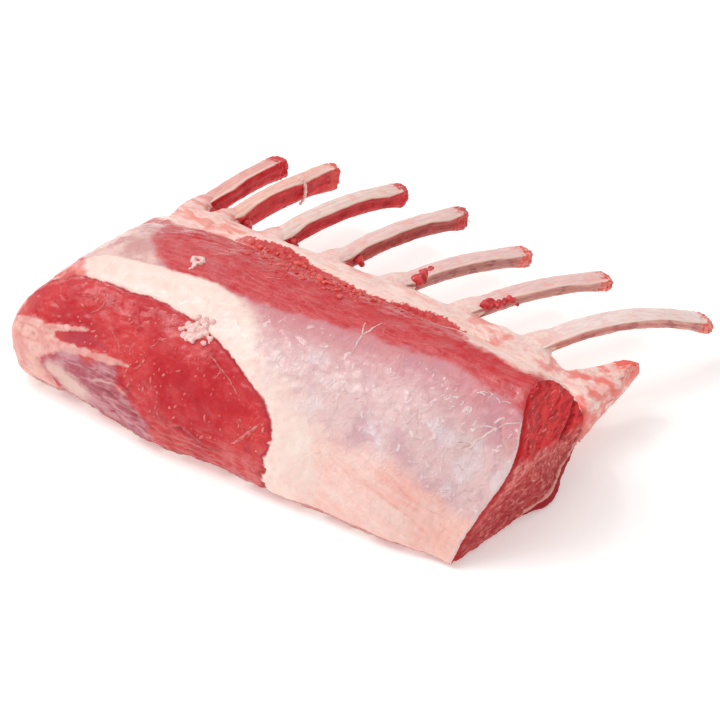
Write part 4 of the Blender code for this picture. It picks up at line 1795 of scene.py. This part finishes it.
def blobs(name: str, beads: Sequence[tuple[Vector, float]], grid: float, relax: int = 3) -> Skin:
    """Fuses overlapping beads into one soft shape.

    Args:
        name: name of the piece.
        beads: middles and radii.
        grid: edge length of the even mesh.
        relax: how often it is evened out.

    Returns:
        The fused skin.
    """
    shapes = bmesh.new()
    for place, radius in beads:
        matrix = Matrix.Translation(place) @ Matrix.Scale(radius, 4)
        bmesh.ops.create_icosphere(shapes, subdivisions=2, radius=1.0, matrix=matrix)
    mesh = bpy.data.meshes.new(f"{name}_beads")
    shapes.to_mesh(mesh)
    shapes.free()
    skin = Skin(name, [mesh], grid)
    bpy.data.meshes.remove(mesh)
    skin.relax(relax, 0.5)
    return skin


@dataclass
class FatNodules:
    """The curled ring and the cluster of fat beads beside the band."""

    ground: Ground
    seed: int = 3
    grid: float = 0.0002

    def build(self) -> Skin:
        """Lays the beads on the skin and fuses them.

        Returns:
            The skin.
        """
        dice = np.random.default_rng(self.seed)
        spots: list[tuple[float, float, float, float]] = []
        for step in range(11):
            angle = 2 * math.pi * step / 11
            spots.append((-41.5 + 2.3 * math.cos(angle), 72.0 + 1.6 * math.sin(angle), 0.8 + 0.3 * (step % 3 == 0), 0.2))
        spots += [(-40.9 + 0.2 * (step % 2), 74.2 + 0.8 * step, 0.95 - 0.1 * step, 0.0) for step in range(5)]
        for _ in range(46):
            x, girth = dice.normal(-20.6, 1.9), dice.normal(99.6, 2.0)
            spots.append((x, girth, dice.uniform(0.75, 1.25), 0.1))
        spots += [(-22.8 + 0.8 * step, 103.4 + 0.5 * math.sin(2.2 * step), 0.95, 0.2) for step in range(5)]
        spots += [(-18.4 + 0.55 * step, 96.8 + 0.62 * step, 0.8 - 0.05 * step, 0.05) for step in range(9)]
        beads = []
        for x, girth, radius, proud in spots:
            place, up = self.ground.at(x, girth)
            beads.append((place + up * proud * MM, radius * MM))
        skin = blobs("fat_nodules", beads, self.grid)
        skin.lift(0.34 * MM * lumps(skin.points / MM, 1.2, 51, 3))
        skin.place(SpeckFinish("nodule_fat", tint(252, 218, 210), tint(248, 194, 190)).build(), Slot.FAT)
        return skin


@dataclass(frozen=True)
class Nick:
    """A torn, bloody place on a rib: how far out it starts and ends, and its size."""

    number: int
    start: float
    end: float
    radius: float
    lean: float
    drop: float = 0.0


NICKS: Sequence[Nick] = (
    Nick(2, 0.001, 0.012, 0.0022, 0.92, 1.1),
    Nick(1, 0.002, 0.008, 0.0016, 0.9, 0.9),
    Nick(3, 0.0085, 0.0105, 0.0013, 0.92, 0.5),
    Nick(4, 0.011, 0.0125, 0.0012, 0.95, 0.6),
    Nick(5, 0.009, 0.014, 0.0019, 0.6),
    Nick(5, 0.013, 0.018, 0.0010, 0.1),
    Nick(6, 0.009, 0.013, 0.0015, 0.6),
    Nick(6, 0.014, 0.022, 0.0012, 0.85),
)


@dataclass
class BloodNicks:
    """Torn red meat left at the roots of the middle ribs."""

    bones: Sequence[RibLine]
    seed: int = 17
    grid: float = 0.00026

    def build(self) -> Skin:
        """Lays the scraps on the bones and fuses them.

        Returns:
            The skin.
        """
        dice = np.random.default_rng(self.seed)
        beads = []
        for nick in NICKS:
            bone = self.bones[nick.number - 1]
            for _ in range(22):
                place, tangent = bone.at(dice.uniform(nick.start, nick.end))
                flat = Vector(bone.side)
                up = flat.cross(tangent)
                across = nick.lean + dice.normal(0, 0.16)
                height = 0.85 - 0.9 * max(0.0, across - 0.6) - nick.drop * dice.uniform(0.4, 1) + dice.normal(0, 0.06)
                spot = place + flat * across * bone.half_width + up * height * bone.half_height
                beads.append((spot, nick.radius * dice.uniform(0.5, 1.0)))
        skin = blobs("blood_nicks", beads, self.grid, 7)
        skin.lift((0.1 + 0.22 * lumps(skin.points / MM, 1.6, 61, 2)) * MM)
        skin.relax(2, 0.5)
        skin.place(SpeckFinish("nick_meat", tint(180, 10, 28), tint(232, 70, 70), 0.0018).build(), Slot.MEAT)
        return skin


@dataclass
class Wisps:
    """Loose shreds: the white wisp over the second rib and the sliver at the tip of the fourth."""

    bones: Sequence[RibLine]
    grid: float = 0.00022

    def build(self) -> Skin:
        """Draws each shred as a row of beads and fuses them.

        Returns:
            The skin.
        """
        beads = []
        bone = self.bones[1]
        place, tangent = bone.at(bone.length * 0.66)
        flat, up = Vector(bone.side), Vector(bone.side).cross(tangent)
        hook = ((0.3, 1.0, 0.0), (0.65, 0.95, 0.4), (0.95, 0.5, 1.2), (1.1, 0.0, 1.0), (1.12, -0.4, 0.2), (1.05, -0.7, -0.8))
        for step in range(22):
            at = step / 21 * (len(hook) - 1)
            index = min(int(at), len(hook) - 2)
            across, above, on = (a + (b - a) * (at - index) for a, b in zip(hook[index], hook[index + 1], strict=True))
            spot = place + flat * across * bone.half_width + up * above * bone.half_height + tangent * on * MM
            beads.append((spot, (0.95 - 0.4 * step / 21 + 0.16 * math.sin(step * 1.9)) * MM))
        bone = self.bones[3]
        place, tangent = bone.at(bone.length)
        for step in range(14):
            share = step / 13
            spot = place + tangent * (-0.002 + 0.0075 * share) + Vector(bone.side) * (0.0018 + 0.0016 * share)
            spot.z -= 0.004 * share * share
            beads.append((spot, (0.42 - 0.16 * share) * MM))
        skin = blobs("fat_wisps", beads, self.grid, 2)
        skin.place(SpeckFinish("wisp_fat", tint(252, 226, 216), tint(244, 196, 188)).build(), Slot.FAT)
        return skin


def main() -> None:
    """Builds the rack piece by piece."""
    logging.basicConfig(level=logging.INFO, format="%(name)s %(message)s")
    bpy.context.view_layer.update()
    Studio().build()
    bones = [RibLine.of(f"rib_{look.number}") for look in RIB_LOOKS[:-1]]
    bones.append(RibLine.of("rib_8", 3, STUB_LEAN))
    ground = Loin(bones).build()
    bed = RibBed(bones).build()
    for look, line in zip(RIB_LOOKS, bones, strict=True):
        Rib(look, line).build()
    FibreFlecks(ground).build()
    SilverShredGlints(ground).build()
    TissueThreads(ground, "silver_threads", SILVER_THREADS, tint(232, 182, 182), tint(250, 218, 214)).build()
    TissueThreads(ground, "lean_threads", LEAN_THREADS, tint(210, 78, 78), tint(234, 134, 126)).build()
    MeatCrumbs(ground, bed).build()
    FatNodules(ground).build()
    BloodNicks(bones).build()
    Wisps(bones).build()


if __name__ == "__main__":
    main()
